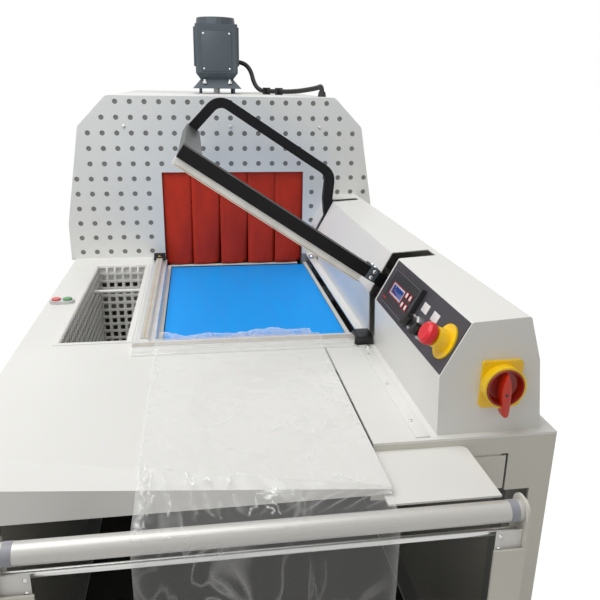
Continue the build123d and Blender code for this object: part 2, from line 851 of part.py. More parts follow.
# Upper jaws: ribbed bars under both beams
rib_top = arm_jaw_bottom + arm_rib_height
with BuildPart() as arm_jaws:
    with BuildSketch(arm_plane(front_seal_y)):
        with Locations((-(arm_reach + arm_jaw_right) / 2, (rib_top + arm_jaw_top) / 2)):
            Rectangle(arm_reach - arm_jaw_right, arm_jaw_top - rib_top)
    extrude(amount=arm_jaw_width / 2, both=True)
    with BuildSketch(arm_plane(front_seal_y)):
        with Locations((-(arm_reach + arm_jaw_right) / 2, (arm_jaw_bottom + rib_top) / 2)):
            Rectangle(arm_reach - arm_jaw_right, arm_rib_height)
    extrude(amount=arm_rib_width / 2, both=True)
    with BuildSketch(arm_plane(left_beam_rear - arm_wall)):
        with Locations((left_beam_u, (rib_top + arm_jaw_top) / 2)):
            Rectangle(arm_jaw_width, arm_jaw_top - rib_top)
        with Locations((left_beam_u, (arm_jaw_bottom + rib_top) / 2)):
            Rectangle(arm_rib_width, arm_rib_height)
    extrude(amount=left_beam_rear - arm_wall - front_seal_y - arm_jaw_width / 2 - weld_gap)
save(arm_jaws, "arm_jaws")

# Rear arm: a bent tube that bridges the pack's path and comes down to the shaft
bend = 1.4 * arm_tube
with BuildPart() as arm_rear_tube:
    with BuildSketch(arm_plane(rear_arm_y)):
        with BuildLine():
            FilletPolyline(
                (left_beam_u - 6, arm_jaw_top),
                (-arm_bridge_left, arm_bridge_rise - 4),
                (-arm_bridge_right, arm_bridge_rise),
                (-arm_bridge_right + 36, arm_bridge_rise / 2),
                (-arm_bridge_right + 82, hub_radius / 2),
                (0, 0),
                radius=(bend, bend, bend, 2 * bend),
            )
        trace(line_width=arm_tube)
        Circle(hub_radius)
        Circle(shaft_radius + running_gap, mode=Mode.SUBTRACT)
    extrude(amount=arm_tube / 2, both=True)
save(arm_rear_tube, "arm_rear_tube")

# Shaft of the arm and the two bearing blocks on the right deck
front_bearing_y = front_seal_y - arm_plate / 2 - bearing_gap - bearing_width / 2
rear_bearing_y = rear_arm_y + arm_tube / 2 + bearing_gap + bearing_width / 2
with BuildPart() as arm_shaft:
    with BuildSketch(across(rear_bearing_y + bearing_width / 2)):
        with Locations((pivot_x, pivot_z)):
            Circle(shaft_radius)
    extrude(amount=rear_bearing_y - front_bearing_y + bearing_width)
save(arm_shaft, "arm_shaft")
with BuildPart() as arm_bearings:
    for bearing_y in (front_bearing_y, rear_bearing_y):
        with BuildSketch(across(bearing_y)):
            with Locations((pivot_x, (deck_height + pivot_z) / 2)):
                Rectangle(2 * hub_radius, pivot_rise)
            with Locations((pivot_x, pivot_z)):
                Circle(hub_radius)
                Circle(shaft_radius + running_gap, mode=Mode.SUBTRACT)
        extrude(amount=bearing_width / 2, both=True)
save(arm_bearings, "arm_bearings")

# Arm housing: a folded cover along the right deck, slotted for the two arms
housing_front = cabinet_front + housing_front_setback
housing_length = hood_front - housing_front
housing_folds = [housing_lower_ridge, housing_upper_ridge, housing_top_outer, housing_outer_fold]
fold_points = [(x, deck_height + rise) for x, rise in housing_folds]
housing_outline = [(housing_inner_foot, deck_height), *fold_points, (housing_outer_foot, deck_height)]
inner_lean = (housing_inner_foot - housing_lower_ridge[0]) / housing_lower_ridge[1]
outer_lean = (housing_outer_foot - housing_outer_fold[0]) / housing_outer_fold[1]
open_foot = 10.0
hollow_outline = [
    (housing_inner_foot + inner_lean * open_foot, deck_height - open_foot),
    *fold_points,
    (housing_outer_foot + outer_lean * open_foot, deck_height - open_foot),
]
with BuildPart() as arm_housing:
    with BuildSketch(across(hood_front)) as housing_section:
        Polygon(*housing_outline, align=None)
        fillet(housing_section.vertices().sort_by(Axis.Y)[2:], housing_fold_radius)
    extrude(amount=housing_length)
    with BuildSketch(across(hood_front)) as hollow_section:
        Polygon(*hollow_outline, align=None)
        fillet(hollow_section.vertices().sort_by(Axis.Y)[2:], housing_fold_radius)
        offset(amount=-sheet, mode=Mode.REPLACE)
    extrude(amount=housing_length - sheet, mode=Mode.SUBTRACT)
    slot_left = housing_lower_ridge[0] - 20
    for slot_y, slot_width in ((front_seal_y, front_slot_width), (rear_arm_y, rear_slot_width)):
        with BuildSketch(level(deck_height)):
            with Locations(((slot_left + slot_reach_x) / 2, slot_y)):
                Rectangle(slot_reach_x - slot_left, slot_width)
        extrude(amount=2 * housing_top_outer[1], mode=Mode.SUBTRACT)
save(arm_housing, "arm_housing")

# The housing's sloped face carries the controls
slope_run = housing_upper_ridge[0] - housing_lower_ridge[0]
slope_rise = housing_upper_ridge[1] - housing_lower_ridge[1]
slope_length = hypot(slope_run, slope_rise)
slope_angle = atan2(slope_rise, slope_run)


def slope_plane(front_distance, slope_distance, lift=0.0):
    """Plane on the sloped face, set back from the housing's front and up from its lower ridge."""
    x = housing_lower_ridge[0] + slope_distance * cos(slope_angle) - lift * sin(slope_angle)
    z = deck_height + housing_lower_ridge[1] + slope_distance * sin(slope_angle) + lift * cos(slope_angle)
    normal = (-sin(slope_angle), 0, cos(slope_angle))
    return Plane(origin=(x, housing_front + front_distance, z), x_dir=(0, -1, 0), z_dir=normal)


with BuildPart() as control_panel_plate:
    with BuildSketch(slope_plane(panel_front_margin + panel_length / 2, slope_length / 2)):
        Rectangle(panel_length, slope_length - 2 * panel_edge)
    extrude(amount=panel_thickness)
save(control_panel_plate, "control_panel_plate")

# Controller: a flat box with a sunk display and four raised keys
controller_middle = controller_front + controller_length / 2
display_offset = -16.0
key_offset = 44.0
with BuildPart() as controller_unit:
    with BuildSketch(slope_plane(controller_middle, slope_length / 2, panel_thickness)):
        Rectangle(controller_length, controller_width)
    extrude(amount=controller_height)
    chamfer(controller_unit.faces().sort_by(Axis.X)[0].edges(), 2)
    face_lift = panel_thickness + controller_height
    with BuildSketch(slope_plane(controller_middle, slope_length / 2, face_lift)):
        with Locations((display_offset, 0)):
            Rectangle(display_length, display_width)
    extrude(amount=-1.5, mode=Mode.SUBTRACT)
    with BuildSketch(slope_plane(controller_middle, slope_length / 2, face_lift)):
        with Locations((key_offset, 0)):
            with GridLocations(key_pitch, key_pitch, 2, 2):
                Rectangle(key_size, key_size)
    extrude(amount=1.2)
save(controller_unit, "controller_unit")

# Selectors: two chrome bezels, each with a turning knob
selector_fronts = (selector_front, selector_front + selector_pitch)
with BuildPart() as selector_bezels:
    for front in selector_fronts:
        with BuildSketch(slope_plane(front, selector_slope, panel_thickness)):
            Circle(bezel_radius)
            Circle(knob_radius + running_gap, mode=Mode.SUBTRACT)
        extrude(amount=bezel_height)
save(selector_bezels, "selector_bezels")
for knob_name, front in zip(("selector_knob_front", "selector_knob_rear"), selector_fronts):
    with BuildPart() as selector_knob:
        with BuildSketch(slope_plane(front, selector_slope, panel_thickness + free_gap)):
            Circle(knob_radius)
        extrude(amount=knob_height)
        with BuildSketch(slope_plane(front, selector_slope, panel_thickness + free_gap + knob_height)):
            SlotOverall(knob_lever_length, knob_lever_width, rotation=60)
        extrude(amount=knob_lever_height)
    save(selector_knob, knob_name)

# Emergency stop: a disc with a collar, and a mushroom button that presses into it
collar_top = panel_thickness + estop_disc_height + estop_collar_height
with BuildPart() as estop_guard:
    with BuildSketch(slope_plane(estop_front, estop_slope, panel_thickness)):
        Circle(estop_disc_radius)
    extrude(amount=estop_disc_height)
    with BuildSketch(slope_plane(estop_front, estop_slope, panel_thickness + estop_disc_height)):
        Circle(estop_collar_radius)
    extrude(amount=estop_collar_height, taper=6)
    with BuildSketch(slope_plane(estop_front, estop_slope, collar_top)):
        Circle(estop_stem_radius + running_gap)
    extrude(amount=-estop_collar_height, mode=Mode.SUBTRACT)
save(estop_guard, "estop_guard")
stem_length = estop_collar_height - estop_travel - 2
button_lift = collar_top + estop_travel + free_gap
with BuildPart() as estop_button:
    with BuildSketch(slope_plane(estop_front, estop_slope, button_lift)):
        Circle(estop_stem_radius)
    extrude(amount=-stem_length)
    with BuildSketch(slope_plane(estop_front, estop_slope, button_lift)):
        Circle(estop_button_radius)
    extrude(amount=estop_button_height)
    chamfer(estop_button.faces().sort_by(Axis.X)[0].edges(), 4)
save(estop_button, "estop_button")

# Main isolator on the housing's end: a plate with a round guard, and a dished handle that turns in it
isolator_x = deck_right - isolator_inset
isolator_z = deck_height + isolator_rise
isolator_face = housing_front - isolator_thickness
with BuildPart() as isolator_plate:
    with BuildSketch(across(housing_front)):
        with Locations((isolator_x, isolator_z)):
            RectangleRounded(isolator_width, isolator_height, 5)
            Circle(isolator_stud_radius + running_gap, mode=Mode.SUBTRACT)
    extrude(amount=isolator_thickness)
    with BuildSketch(across(isolator_face)):
        with Locations((isolator_x, isolator_z)):
            Circle(isolator_ring_radius)
            Circle(isolator_ring_radius - isolator_ring_wall, mode=Mode.SUBTRACT)
    extrude(amount=isolator_ring_depth)
save(isolator_plate, "isolator_plate")
dial_radius = isolator_ring_radius - isolator_ring_wall - 0.5
dial_depth = isolator_ring_depth + 2.0
lever_base = isolator_face - free_gap - dial_depth
with BuildPart() as isolator_handle:
    with BuildSketch(across(isolator_face - free_gap)):
        with Locations((isolator_x, isolator_z)):
            Circle(dial_radius)
    extrude(amount=dial_depth)
    with BuildSketch(across(lever_base)):
        with Locations((isolator_x, isolator_z)):
            Circle(dial_radius - 3)
    extrude(amount=-dial_depth + 5, taper=12, mode=Mode.SUBTRACT)
    with BuildSketch(across(isolator_face - free_gap - 3)):
        with Locations((isolator_x, isolator_z)):
            Rectangle(isolator_handle_width, 2 * dial_radius - 2)
    extrude(amount=dial_depth - 2)
    with BuildSketch(across(lever_base)):
        with Locations((isolator_x, isolator_z - isolator_handle_length / 2 + dial_radius - 3)):
            SlotOverall(isolator_handle_length, isolator_handle_width, rotation=90)
    extrude(amount=isolator_handle_depth - dial_depth, taper=10)
    with BuildSketch(across(isolator_face - free_gap)):
        with Locations((isolator_x, isolator_z)):
            Circle(isolator_stud_radius)
    extrude(amount=-isolator_thickness + free_gap)
save(isolator_handle, "isolator_handle")

# Start and stop buttons in an oval bezel on the left deck
button_box_x = deck_left + button_box_left
button_box_y = hood_front - button_box_setback
button_floor = 2.0
with BuildPart() as start_stop_bezel:
    with BuildSketch(level(deck_height)):
        with Locations((button_box_x, button_box_y)):
            SlotOverall(button_box_length, button_box_width)
    extrude(amount=button_box_height)
    with BuildSketch(level(deck_height + button_floor)):
        with Locations((button_box_x, button_box_y)):
            with GridLocations(button_pitch, 0, 2, 1):
                Circle(button_radius + running_gap)
    extrude(amount=button_box_height, mode=Mode.SUBTRACT)
save(start_stop_bezel, "start_stop_bezel")
button_height = button_box_height + button_proud - button_floor - button_travel - free_gap
for button_name, side in (("stop_button", -1), ("start_button", 1)):
    with BuildPart() as push_button:
        with BuildSketch(level(deck_height + button_floor + button_travel + free_gap)):
            with Locations((button_box_x + side * button_pitch / 2, button_box_y)):
                Circle(button_radius)
        extrude(amount=button_height)
        chamfer(push_button.faces().sort_by(Axis.Z)[-1].edges(), 1)
    save(push_button, button_name)

# Tunnel hood: a perforated front, a folded shell and a rear, all with the same outline
hood_half = machine_width / 2
hood_corners = (
    (hood_half, deck_height + hood_skirt_height),
    (hood_half - hood_shoulder_inset, hood_top - hood_shoulder_drop),
    (hood_half - hood_top_inset, hood_top),
)


def hood_outline(bottom):
    """Outline of the hood from its bottom edge, right side up and left side down."""
    right = [(hood_half, bottom), *hood_corners]
    return right + [(-x, z) for x, z in reversed(right)]


def hood_half_width(z):
    """Half the hood's width at a height, along its straight sides."""
    for (low_x, low_z), (high_x, high_z) in zip(hood_corners, hood_corners[1:]):
        if low_z <= z <= high_z:
            return low_x + (high_x - low_x) * (z - low_z) / (high_z - low_z)
    return hood_half


def hood_holes():
    """Centres of the round holes that fit inside the outline and clear of the tunnel's mouth."""
    centres = []
    for row in range(hole_rows):
        z = hood_top - hole_top_margin - row * hole_pitch_z
        columns = int((hood_half_width(z) - hole_side_margin) / hole_pitch_x + 0.5)
        for column in range(-columns, columns):
            x = (column + 0.5) * hole_pitch_x
            beside = x < mouth_left - hole_mouth_margin or x > mouth_right + hole_mouth_margin
            if beside or z > mouth_top + hole_mouth_margin:
                centres.append((x, z))
    return centres


mouth_middle = (mouth_left + mouth_width / 2, deck_height + mouth_height / 2)
with BuildPart() as hood_front_panel:
    with BuildSketch(across(hood_front)) as front_outline:
        Polygon(*hood_outline(deck_height), align=None)
        fillet(front_outline.vertices().sort_by(Axis.Y)[2:], hood_corner_radius)
        with Locations(mouth_middle):
            Rectangle(mouth_width, mouth_height, mode=Mode.SUBTRACT)
        with Locations(*hood_holes()):
            RegularPolygon(hole_radius, hole_sides, mode=Mode.SUBTRACT)
    extrude(amount=-sheet)
save(hood_front_panel, "hood_front_panel")

gland_x = hood_half - hood_top_inset - gland_side_gap
gland_y = hood_front + gland_front_gap
shell_length = hood_length - 2 * sheet
with BuildPart() as hood_shell:
    with BuildSketch(across(hood_rear - sheet)) as shell_outline:
        Polygon(*hood_outline(deck_height), align=None)
        fillet(shell_outline.vertices().sort_by(Axis.Y)[2:], hood_corner_radius)
    extrude(amount=shell_length)
    with BuildSketch(across(hood_rear - sheet)) as shell_hollow:
        Polygon(*hood_outline(deck_height - 4 * sheet), align=None)
        fillet(shell_hollow.vertices().sort_by(Axis.Y)[2:], hood_corner_radius)
        offset(amount=-sheet, mode=Mode.REPLACE)
    extrude(amount=shell_length, mode=Mode.SUBTRACT)
    with BuildSketch(level(hood_top - 2 * sheet)):
        with Locations((0, hood_middle_y)):
            Circle(fan_shaft_hole)
    extrude(amount=3 * sheet, mode=Mode.SUBTRACT)
save(hood_shell, "hood_shell")

with BuildPart() as hood_rear_panel:
    with BuildSketch(across(hood_rear)) as rear_outline:
        Polygon(*hood_outline(deck_height), align=None)
        fillet(rear_outline.vertices().sort_by(Axis.Y)[2:], hood_corner_radius)
        with Locations(mouth_middle):
            Rectangle(mouth_width, mouth_height, mode=Mode.SUBTRACT)
    extrude(amount=sheet)
save(hood_rear_panel, "hood_rear_panel")

# Insulated chamber: two side walls on the cross beams and a roof with the fan shaft's hole
chamber_front = hood_front + sheet
chamber_length = hood_length - 2 * sheet
with BuildPart() as tunnel_chamber:
    for wall_x in (mouth_left - chamber_wall, mouth_right):
        with BuildSketch(along(wall_x)):
            with Locations((hood_middle_y, (beam_top + chamber_top) / 2)):
                Rectangle(chamber_length, chamber_top - beam_top - weld_gap)
        extrude(amount=chamber_wall)
    with BuildSketch(level(chamber_top)):
        with Locations((mouth_middle[0], hood_middle_y)):
            Rectangle(mouth_width + 2 * chamber_wall, chamber_length)
        with Locations((0, hood_middle_y)):
            Circle(fan_shaft_hole, mode=Mode.SUBTRACT)
    extrude(amount=chamber_roof)
save(tunnel_chamber, "tunnel_chamber")

# Heater elements: bent rods that hang from the roof along both walls
heater_z = chamber_top - heater_drop
heater_start = hood_front + heater_end_gap
heater_end = hood_rear - heater_end_gap
with BuildPart() as heater_elements:
    for heater_x in (mouth_left + heater_wall_gap, mouth_right - heater_wall_gap):
        with BuildLine() as heater_path:
            Polyline(
                (heater_x, heater_start, chamber_top),
                (heater_x, heater_start, heater_z),
                (heater_x, heater_end, heater_z),
                (heater_x, heater_end, chamber_top),
            )
        with BuildSketch(Plane(origin=(heater_x, heater_start, chamber_top), z_dir=(0, 0, -1))):
            Circle(heater_radius)
        sweep(path=heater_path.wires()[0], transition=Transition.RIGHT)
save(heater_elements, "heater_elements")

# Fan wheel on the motor's shaft
fan_top = chamber_top - fan_roof_gap
fan_bottom = fan_top - fan_height
motor_base = hood_top + motor_stand
fan_disc = 3.0
with BuildPart() as fan_wheel:
    with BuildSketch(level(fan_top - fan_disc)):
        with Locations((0, hood_middle_y)):
            Circle(fan_radius)
    extrude(amount=fan_disc)
    with BuildSketch(level(fan_bottom)):
        with Locations((0, hood_middle_y)):
            with PolarLocations(0.72 * fan_radius, fan_blades):
                Rectangle(0.5 * fan_radius, fan_blade_thickness, rotation=35)
    extrude(amount=fan_height - fan_disc)
    with BuildSketch(level(fan_bottom + fan_height / 2)):
        with Locations((0, hood_middle_y)):
            Circle(fan_shaft_radius)
    extrude(amount=motor_base + motor_neck_height / 2 - fan_bottom - fan_height / 2)
save(fan_wheel, "fan_wheel")

# Curtain rods between the chamber walls
rod_z = mouth_top + strip_rod_rise
entry_rod_y = hood_front + sheet + strip_rod_setback
exit_rod_y = hood_rear - sheet - exit_rod_setback
with BuildPart() as curtain_rods:
    for rod_y in (entry_rod_y, exit_rod_y):
        with BuildSketch(along(mouth_left)):
            with Locations((rod_y, rod_z)):
                Circle(rod_radius)
        extrude(amount=mouth_width)
save(curtain_rods, "curtain_rods")

# Curtain strips: each hangs by a hem on its rod
strip_width = mouth_width / strip_count - strip_gap
strip_bottom = belt_top + strip_belt_gap
hem_radius = rod_radius + hem_wall
strip_length = rod_z - hem_radius - strip_bottom + hem_wall / 2
strip_lefts = [mouth_left + strip_gap / 2 + n * (strip_width + strip_gap) for n in range(strip_count)]
for number, strip_left in enumerate(strip_lefts, 1):
    with BuildPart() as curtain_strip:
        with BuildSketch(along(strip_left)):
            with Locations((entry_rod_y, strip_bottom + strip_length / 2)):
                Rectangle(strip_thickness, strip_length)
            with Locations((entry_rod_y, rod_z)):
                Circle(hem_radius)
                Circle(rod_radius + running_gap, mode=Mode.SUBTRACT)
        extrude(amount=strip_width)
    save(curtain_strip, f"curtain_strip_{number}")
with BuildPart() as exit_curtain:
    for strip_left in strip_lefts:
        with BuildSketch(along(strip_left)):
            with Locations((exit_rod_y, strip_bottom + strip_length / 2)):
                Rectangle(strip_thickness, strip_length)
            with Locations((exit_rod_y, rod_z)):
                Circle(hem_radius)
                Circle(rod_radius + running_gap, mode=Mode.SUBTRACT)
        extrude(amount=strip_width)
save(exit_curtain, "exit_curtain")

# Tunnel conveyor: rails on the cross beams with a fixed nose bar, a belt and its drive roller
tunnel_belt_left = mouth_left + tunnel_belt_inset
tunnel_belt_right = mouth_right - tunnel_belt_inset
tunnel_belt_width = tunnel_belt_right - tunnel_belt_left
tunnel_roller_z = roller_z - tunnel_belt_step
tunnel_nose_y = hood_front + roller_radius + belt_thickness + 20
tunnel_drive_y = hood_rear - roller_radius - belt_thickness - 20
rail_lefts = (tunnel_belt_left - tunnel_rail_gap - tunnel_rail, tunnel_belt_right + tunnel_rail_gap)
rail_front = hood_front + sheet
rail_rear = hood_rear - sheet
with BuildPart() as tunnel_rails:
    for rail_left in rail_lefts:
        with BuildSketch(along(rail_left)):
            with Locations(((rail_front + rail_rear) / 2, beam_top + tunnel_rail_height / 2)):
                Rectangle(rail_rear - rail_front, tunnel_rail_height)
            with Locations((tunnel_drive_y, tunnel_roller_z)):
                Circle(journal_radius + running_gap, mode=Mode.SUBTRACT)
        extrude(amount=tunnel_rail)
    with BuildSketch(along(rail_lefts[0] + tunnel_rail + weld_gap)):
        with Locations((tunnel_nose_y, tunnel_roller_z)):
            Circle(roller_radius - free_gap)
    extrude(amount=rail_lefts[1] - rail_lefts[0] - tunnel_rail - 2 * weld_gap)
save(tunnel_rails, "tunnel_rails")
with BuildPart() as tunnel_belt:
    with BuildSketch(along(tunnel_belt_left)):
        with Locations(((tunnel_nose_y + tunnel_drive_y) / 2, tunnel_roller_z)):
            SlotCenterToCenter(tunnel_drive_y - tunnel_nose_y, 2 * belt_radius)
            SlotCenterToCenter(tunnel_drive_y - tunnel_nose_y, 2 * roller_radius, mode=Mode.SUBTRACT)
    extrude(amount=tunnel_belt_width)
save(tunnel_belt, "tunnel_belt")
with BuildPart() as tunnel_drive_roller:
    with BuildSketch(along(tunnel_belt_left)):
        with Locations((tunnel_drive_y, tunnel_roller_z)):
            Circle(roller_radius - free_gap)
    extrude(amount=tunnel_belt_width)
    with BuildSketch(along(rail_lefts[0])):
        with Locations((tunnel_drive_y, tunnel_roller_z)):
            Circle(journal_radius)
    extrude(amount=rail_lefts[1] + tunnel_rail - rail_lefts[0])
save(tunnel_drive_roller, "tunnel_drive_roller")

# Fan motor: a flared foot on four studs, a waisted neck and a ribbed body with a cap
neck_top = motor_base + motor_neck_height
body_bottom = neck_top + motor_corner
body_top = body_bottom + motor_height
motor_corner_cut = 8.0
cap_sides = 24


def cut_square(side):
    """A square with its corners cut, drawn in the sketch that is open."""
    half = side / 2
    cut = half - motor_corner_cut
    Polygon(
        (half, -cut), (half, cut), (cut, half), (-cut, half),
        (-half, cut), (-half, -cut), (-cut, -half), (cut, -half),
        align=None,
    )


with BuildPart() as fan_motor:
    with BuildSketch(level(hood_top)):
        with Locations((0, hood_middle_y)):
            with GridLocations(motor_stud_pitch, motor_stud_pitch, 2, 2):
                RegularPolygon(motor_stud_radius, stem_sides)
    extrude(amount=motor_stand)
    with BuildSketch(level(motor_base)):
        with Locations((0, hood_middle_y)):
            cut_square(motor_foot_side)
    with BuildSketch(level(neck_top)):
        with Locations((0, hood_middle_y)):
            cut_square(motor_neck_side)
    loft(ruled=True)
    with BuildSketch(level(neck_top)):
        with Locations((0, hood_middle_y)):
            cut_square(motor_neck_side)
    with BuildSketch(level(body_bottom)):
        with Locations((0, hood_middle_y)):
            cut_square(motor_side)
    loft(ruled=True)
    with BuildSketch(level(body_bottom)):
        with Locations((0, hood_middle_y)):
            cut_square(motor_side)
    extrude(amount=motor_height)
    with BuildSketch(level(body_top)):
        with Locations((0, hood_middle_y)):
            RegularPolygon(motor_side / 2 - 4, cap_sides)
    extrude(amount=cap_height, taper=8)
    with BuildSketch(level(motor_base)):
        with Locations((0, hood_middle_y)):
            Circle(fan_shaft_radius + running_gap)
    extrude(amount=motor_neck_height / 2 + free_gap, mode=Mode.SUBTRACT)
save(fan_motor, "fan_motor")

# Motor cable: from the motor's side down to the hood, through two clips and into a gland
cable_lift = hood_top + cable_radius + clip_wall
cable_exit = (motor_side / 2, hood_middle_y, body_bottom + 40)
cable_route = [
    cable_exit,
    (motor_side / 2 + 46, hood_middle_y, body_bottom + 40),
    (motor_side / 2 + 66, hood_middle_y - 48, cable_lift),
    (gland_x - 66, gland_y + gland_run_share * (hood_middle_y - gland_y), cable_lift),
    (gland_x - 8, gland_y + 44, cable_lift + 16),
    (gland_x, gland_y, hood_top + gland_height + 20),
    (gland_x, gland_y, hood_top + 2),
]


def route_radii(points):
    """Bend radius at each inner point of a route: as large as its two runs allow."""
    vectors = [Vector(*b) - Vector(*a) for a, b in zip(points, points[1:])]
    radii = []
    for before, after in zip(vectors, vectors[1:]):
        half_turn = radians(before.get_angle(after)) / 2
        radii.append(bend_share * min(before.length, after.length) / tan(half_turn))
    return radii


cable_radii = route_radii(cable_route)
cable_sides = 8
with BuildPart() as motor_cable:
    with BuildLine() as cable_path:
        FilletPolyline(*cable_route, radius=cable_radii)
    first_run = Vector(*cable_route[1]) - Vector(*cable_route[0])
    with BuildSketch(Plane(origin=cable_exit, z_dir=tuple(first_run.normalized()))):
        RegularPolygon(cable_radius, cable_sides)
    sweep(path=cable_path.wires()[0])
save(motor_cable, "motor_cable")

# Clips that hold the cable on the hood, and the gland where it goes in
run_before, clip_run, run_after = (
    Vector(*end) - Vector(*start) for start, end in zip(cable_route[1:4], cable_route[2:5])
)
straight_start = bend_share * min(run_before.length, clip_run.length)
straight_end = clip_run.length - bend_share * min(clip_run.length, run_after.length)
clip_x_dir = (clip_run.Y, -clip_run.X, 0)
clip_side = 2 * (cable_radius + clip_wall)
gland_sides = 12
with BuildPart() as cable_fittings:
    for share in clip_shares:
        clip_distance = straight_start + share * (straight_end - straight_start)
        clip_middle = tuple(Vector(*cable_route[2]) + clip_run.normalized() * clip_distance)
        with BuildSketch(Plane(origin=clip_middle, x_dir=clip_x_dir, z_dir=tuple(clip_run))):
            Rectangle(clip_side, clip_side)
            Circle(cable_radius + running_gap, mode=Mode.SUBTRACT)
        extrude(amount=clip_length / 2, both=True)
    with BuildSketch(level(hood_top)):
        with Locations((gland_x, gland_y)):
            RegularPolygon(gland_radius, gland_sides)
    extrude(amount=gland_height, taper=10)
    with BuildSketch(level(hood_top)):
        with Locations((gland_x, gland_y)):
            Circle(cable_radius + running_gap)
    extrude(amount=gland_height, mode=Mode.SUBTRACT)
save(cable_fittings, "cable_fittings")

# Film cradle: two cheeks on the cabinet's front that carry the film roll and the guide roller
cheek_top = guide_z + guide_radius + cheek_top_gap
cheek_outline = (
    (front_reach, cheek_bottom),
    (cabinet_front, cheek_bottom),
    (cabinet_front, bay_bottom - 5),
    (spindle_y + 40, spindle_height + 42),
    (front_reach + cheek_depth, spindle_height + 100),
    (front_reach + cheek_depth, cheek_top),
    (front_reach, cheek_top),
)
rod_y = guide_y + 4
rod_height = guide_z - guide_rod_drop
with BuildPart() as film_cradle_frame:
    for cheek_x in (-cheek_half_span - cheek_sheet, cheek_half_span):
        with BuildSketch(along(cheek_x)) as cheek_sketch:
            Polygon(*cheek_outline, align=None)
            fillet(cheek_sketch.vertices().sort_by(Axis.Y)[-2:], 0.4 * cheek_depth)
            with Locations((guide_y, guide_z)):
                Circle(guide_journal + running_gap, mode=Mode.SUBTRACT)
            with Locations((spindle_y, spindle_height)):
                Circle(spindle_journal + running_gap, mode=Mode.SUBTRACT)
        extrude(amount=cheek_sheet)
    for flange_x in (-cheek_half_span, cheek_half_span - cheek_flange):
        with BuildSketch(across(front_reach + cheek_sheet)):
            with Locations((flange_x + cheek_flange / 2, (spindle_height + 120 + rod_height - 14) / 2)):
                Rectangle(cheek_flange, rod_height - 14 - spindle_height - 120)
        extrude(amount=cheek_sheet)
save(film_cradle_frame, "film_cradle_frame")

with BuildPart() as guide_rod:
    with BuildSketch(along(-cheek_half_span)):
        with Locations((rod_y, rod_height)):
            Circle(guide_rod_radius)
    extrude(amount=2 * cheek_half_span)
save(guide_rod, "guide_rod")

with BuildPart() as guide_roller:
    with BuildSketch(along(free_gap - cheek_half_span)):
        with Locations((guide_y, guide_z)):
            Circle(guide_radius)
    extrude(amount=2 * (cheek_half_span - free_gap))
    with BuildSketch(along(-cheek_half_span - cheek_sheet)):
        with Locations((guide_y, guide_z)):
            Circle(guide_journal)
    extrude(amount=2 * (cheek_half_span + cheek_sheet))
save(guide_roller, "guide_roller")

# Film roll on its spindle
roll_left = film_left - 6
roll_length = film_right - film_left + 12
with BuildPart() as film_roll:
    with BuildSketch(along(roll_left)):
        with Locations((spindle_y, spindle_height)):
            Circle(roll_radius)
    extrude(amount=roll_length)
    with BuildSketch(along(roll_left - 8)):
        with Locations((spindle_y, spindle_height)):
            Circle(roll_core)
    extrude(amount=roll_length + 16)
    with BuildSketch(along(free_gap - cheek_half_span)):
        with Locations((spindle_y, spindle_height)):
            Circle(spindle_radius)
    extrude(amount=2 * (cheek_half_span - free_gap))
    with BuildSketch(along(-cheek_half_span - cheek_sheet)):
        with Locations((spindle_y, spindle_height)):
            Circle(spindle_journal)
    extrude(amount=2 * (cheek_half_span + cheek_sheet))
save(film_roll, "film_roll")

# Film web: from the roll up over the guide roller, over the tray's slanted edge and across the front jaw
film_width = film_right - film_left
film_low = deck_height + free_gap
film_high = film_low + film_thickness
wrap_inner = guide_radius + free_gap
wrap_outer = wrap_inner + film_thickness
jaw_clear = pad_top + free_gap


def tray_edge(x):
    """Y of the tray's slanted front edge at X."""
    return tray_left_y + tray_slope * (x - fold_x)


ramp_start = jaw_front - 18
ramp_points = (
    (ramp_start, film_low),
    (jaw_front + step_width, jaw_clear),
    (jaw_rear - step_width / 2, jaw_clear),
    (jaw_rear + step_width, deck_height),
    (front_roller_y, belt_top + free_gap),
    (front_roller_y + film_tail, belt_top + free_gap),
)
with BuildPart() as film_web:
    with BuildSketch(level(film_low)):
        Polygon(
            (film_left, tray_edge(film_left)),
            (film_right, tray_edge(film_right)),
            (film_right, ramp_start - weld_gap),
            (film_left, ramp_start - weld_gap),
            align=None,
        )
    extrude(amount=film_thickness)
    for (start_y, start_z), (end_y, end_z) in zip(ramp_points, ramp_points[1:]):
        with BuildSketch(along(film_left)):
            Polygon(
                (start_y, start_z),
                (end_y - weld_gap, end_z),
                (end_y - weld_gap, end_z + film_thickness),
                (start_y, start_z + film_thickness),
                align=None,
            )
        extrude(amount=film_width)
    for film_x in (film_left, film_right):
        with BuildSketch(along(film_x)):
            Polygon(
                (tray_edge(film_x) - nose_lip, film_low),
                (tray_edge(film_x) - nose_lip, film_high),
                (guide_y + weld_gap, guide_z + wrap_outer),
                (guide_y + weld_gap, guide_z + wrap_inner),
                align=None,
            )
    loft(ruled=True)
    with BuildSketch(along(film_left)):
        with BuildLine():
            Line((guide_y, guide_z + wrap_inner), (guide_y, guide_z + wrap_outer))
            RadiusArc((guide_y, guide_z + wrap_outer), (guide_y - wrap_outer, guide_z), -wrap_outer)
            Line((guide_y - wrap_outer, guide_z), (guide_y - wrap_outer, spindle_height))
            Line((guide_y - wrap_outer, spindle_height), (guide_y - wrap_inner, spindle_height))
            Line((guide_y - wrap_inner, spindle_height), (guide_y - wrap_inner, guide_z))
            RadiusArc((guide_y - wrap_inner, guide_z), (guide_y, guide_z + wrap_inner), wrap_inner)
        make_face()
    extrude(amount=film_width)
save(film_web, "film_web")
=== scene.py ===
"""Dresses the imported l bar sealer: finishes for its solids, and the pieces too fine or too soft for them.

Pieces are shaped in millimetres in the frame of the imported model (X across the machine, Y along the pack's
travel, Z up) and are scaled to metres as they are put in the scene.
"""
from math import cos, pi, radians, sin

import bmesh
import bpy
from mathutils import Matrix, Vector, noise


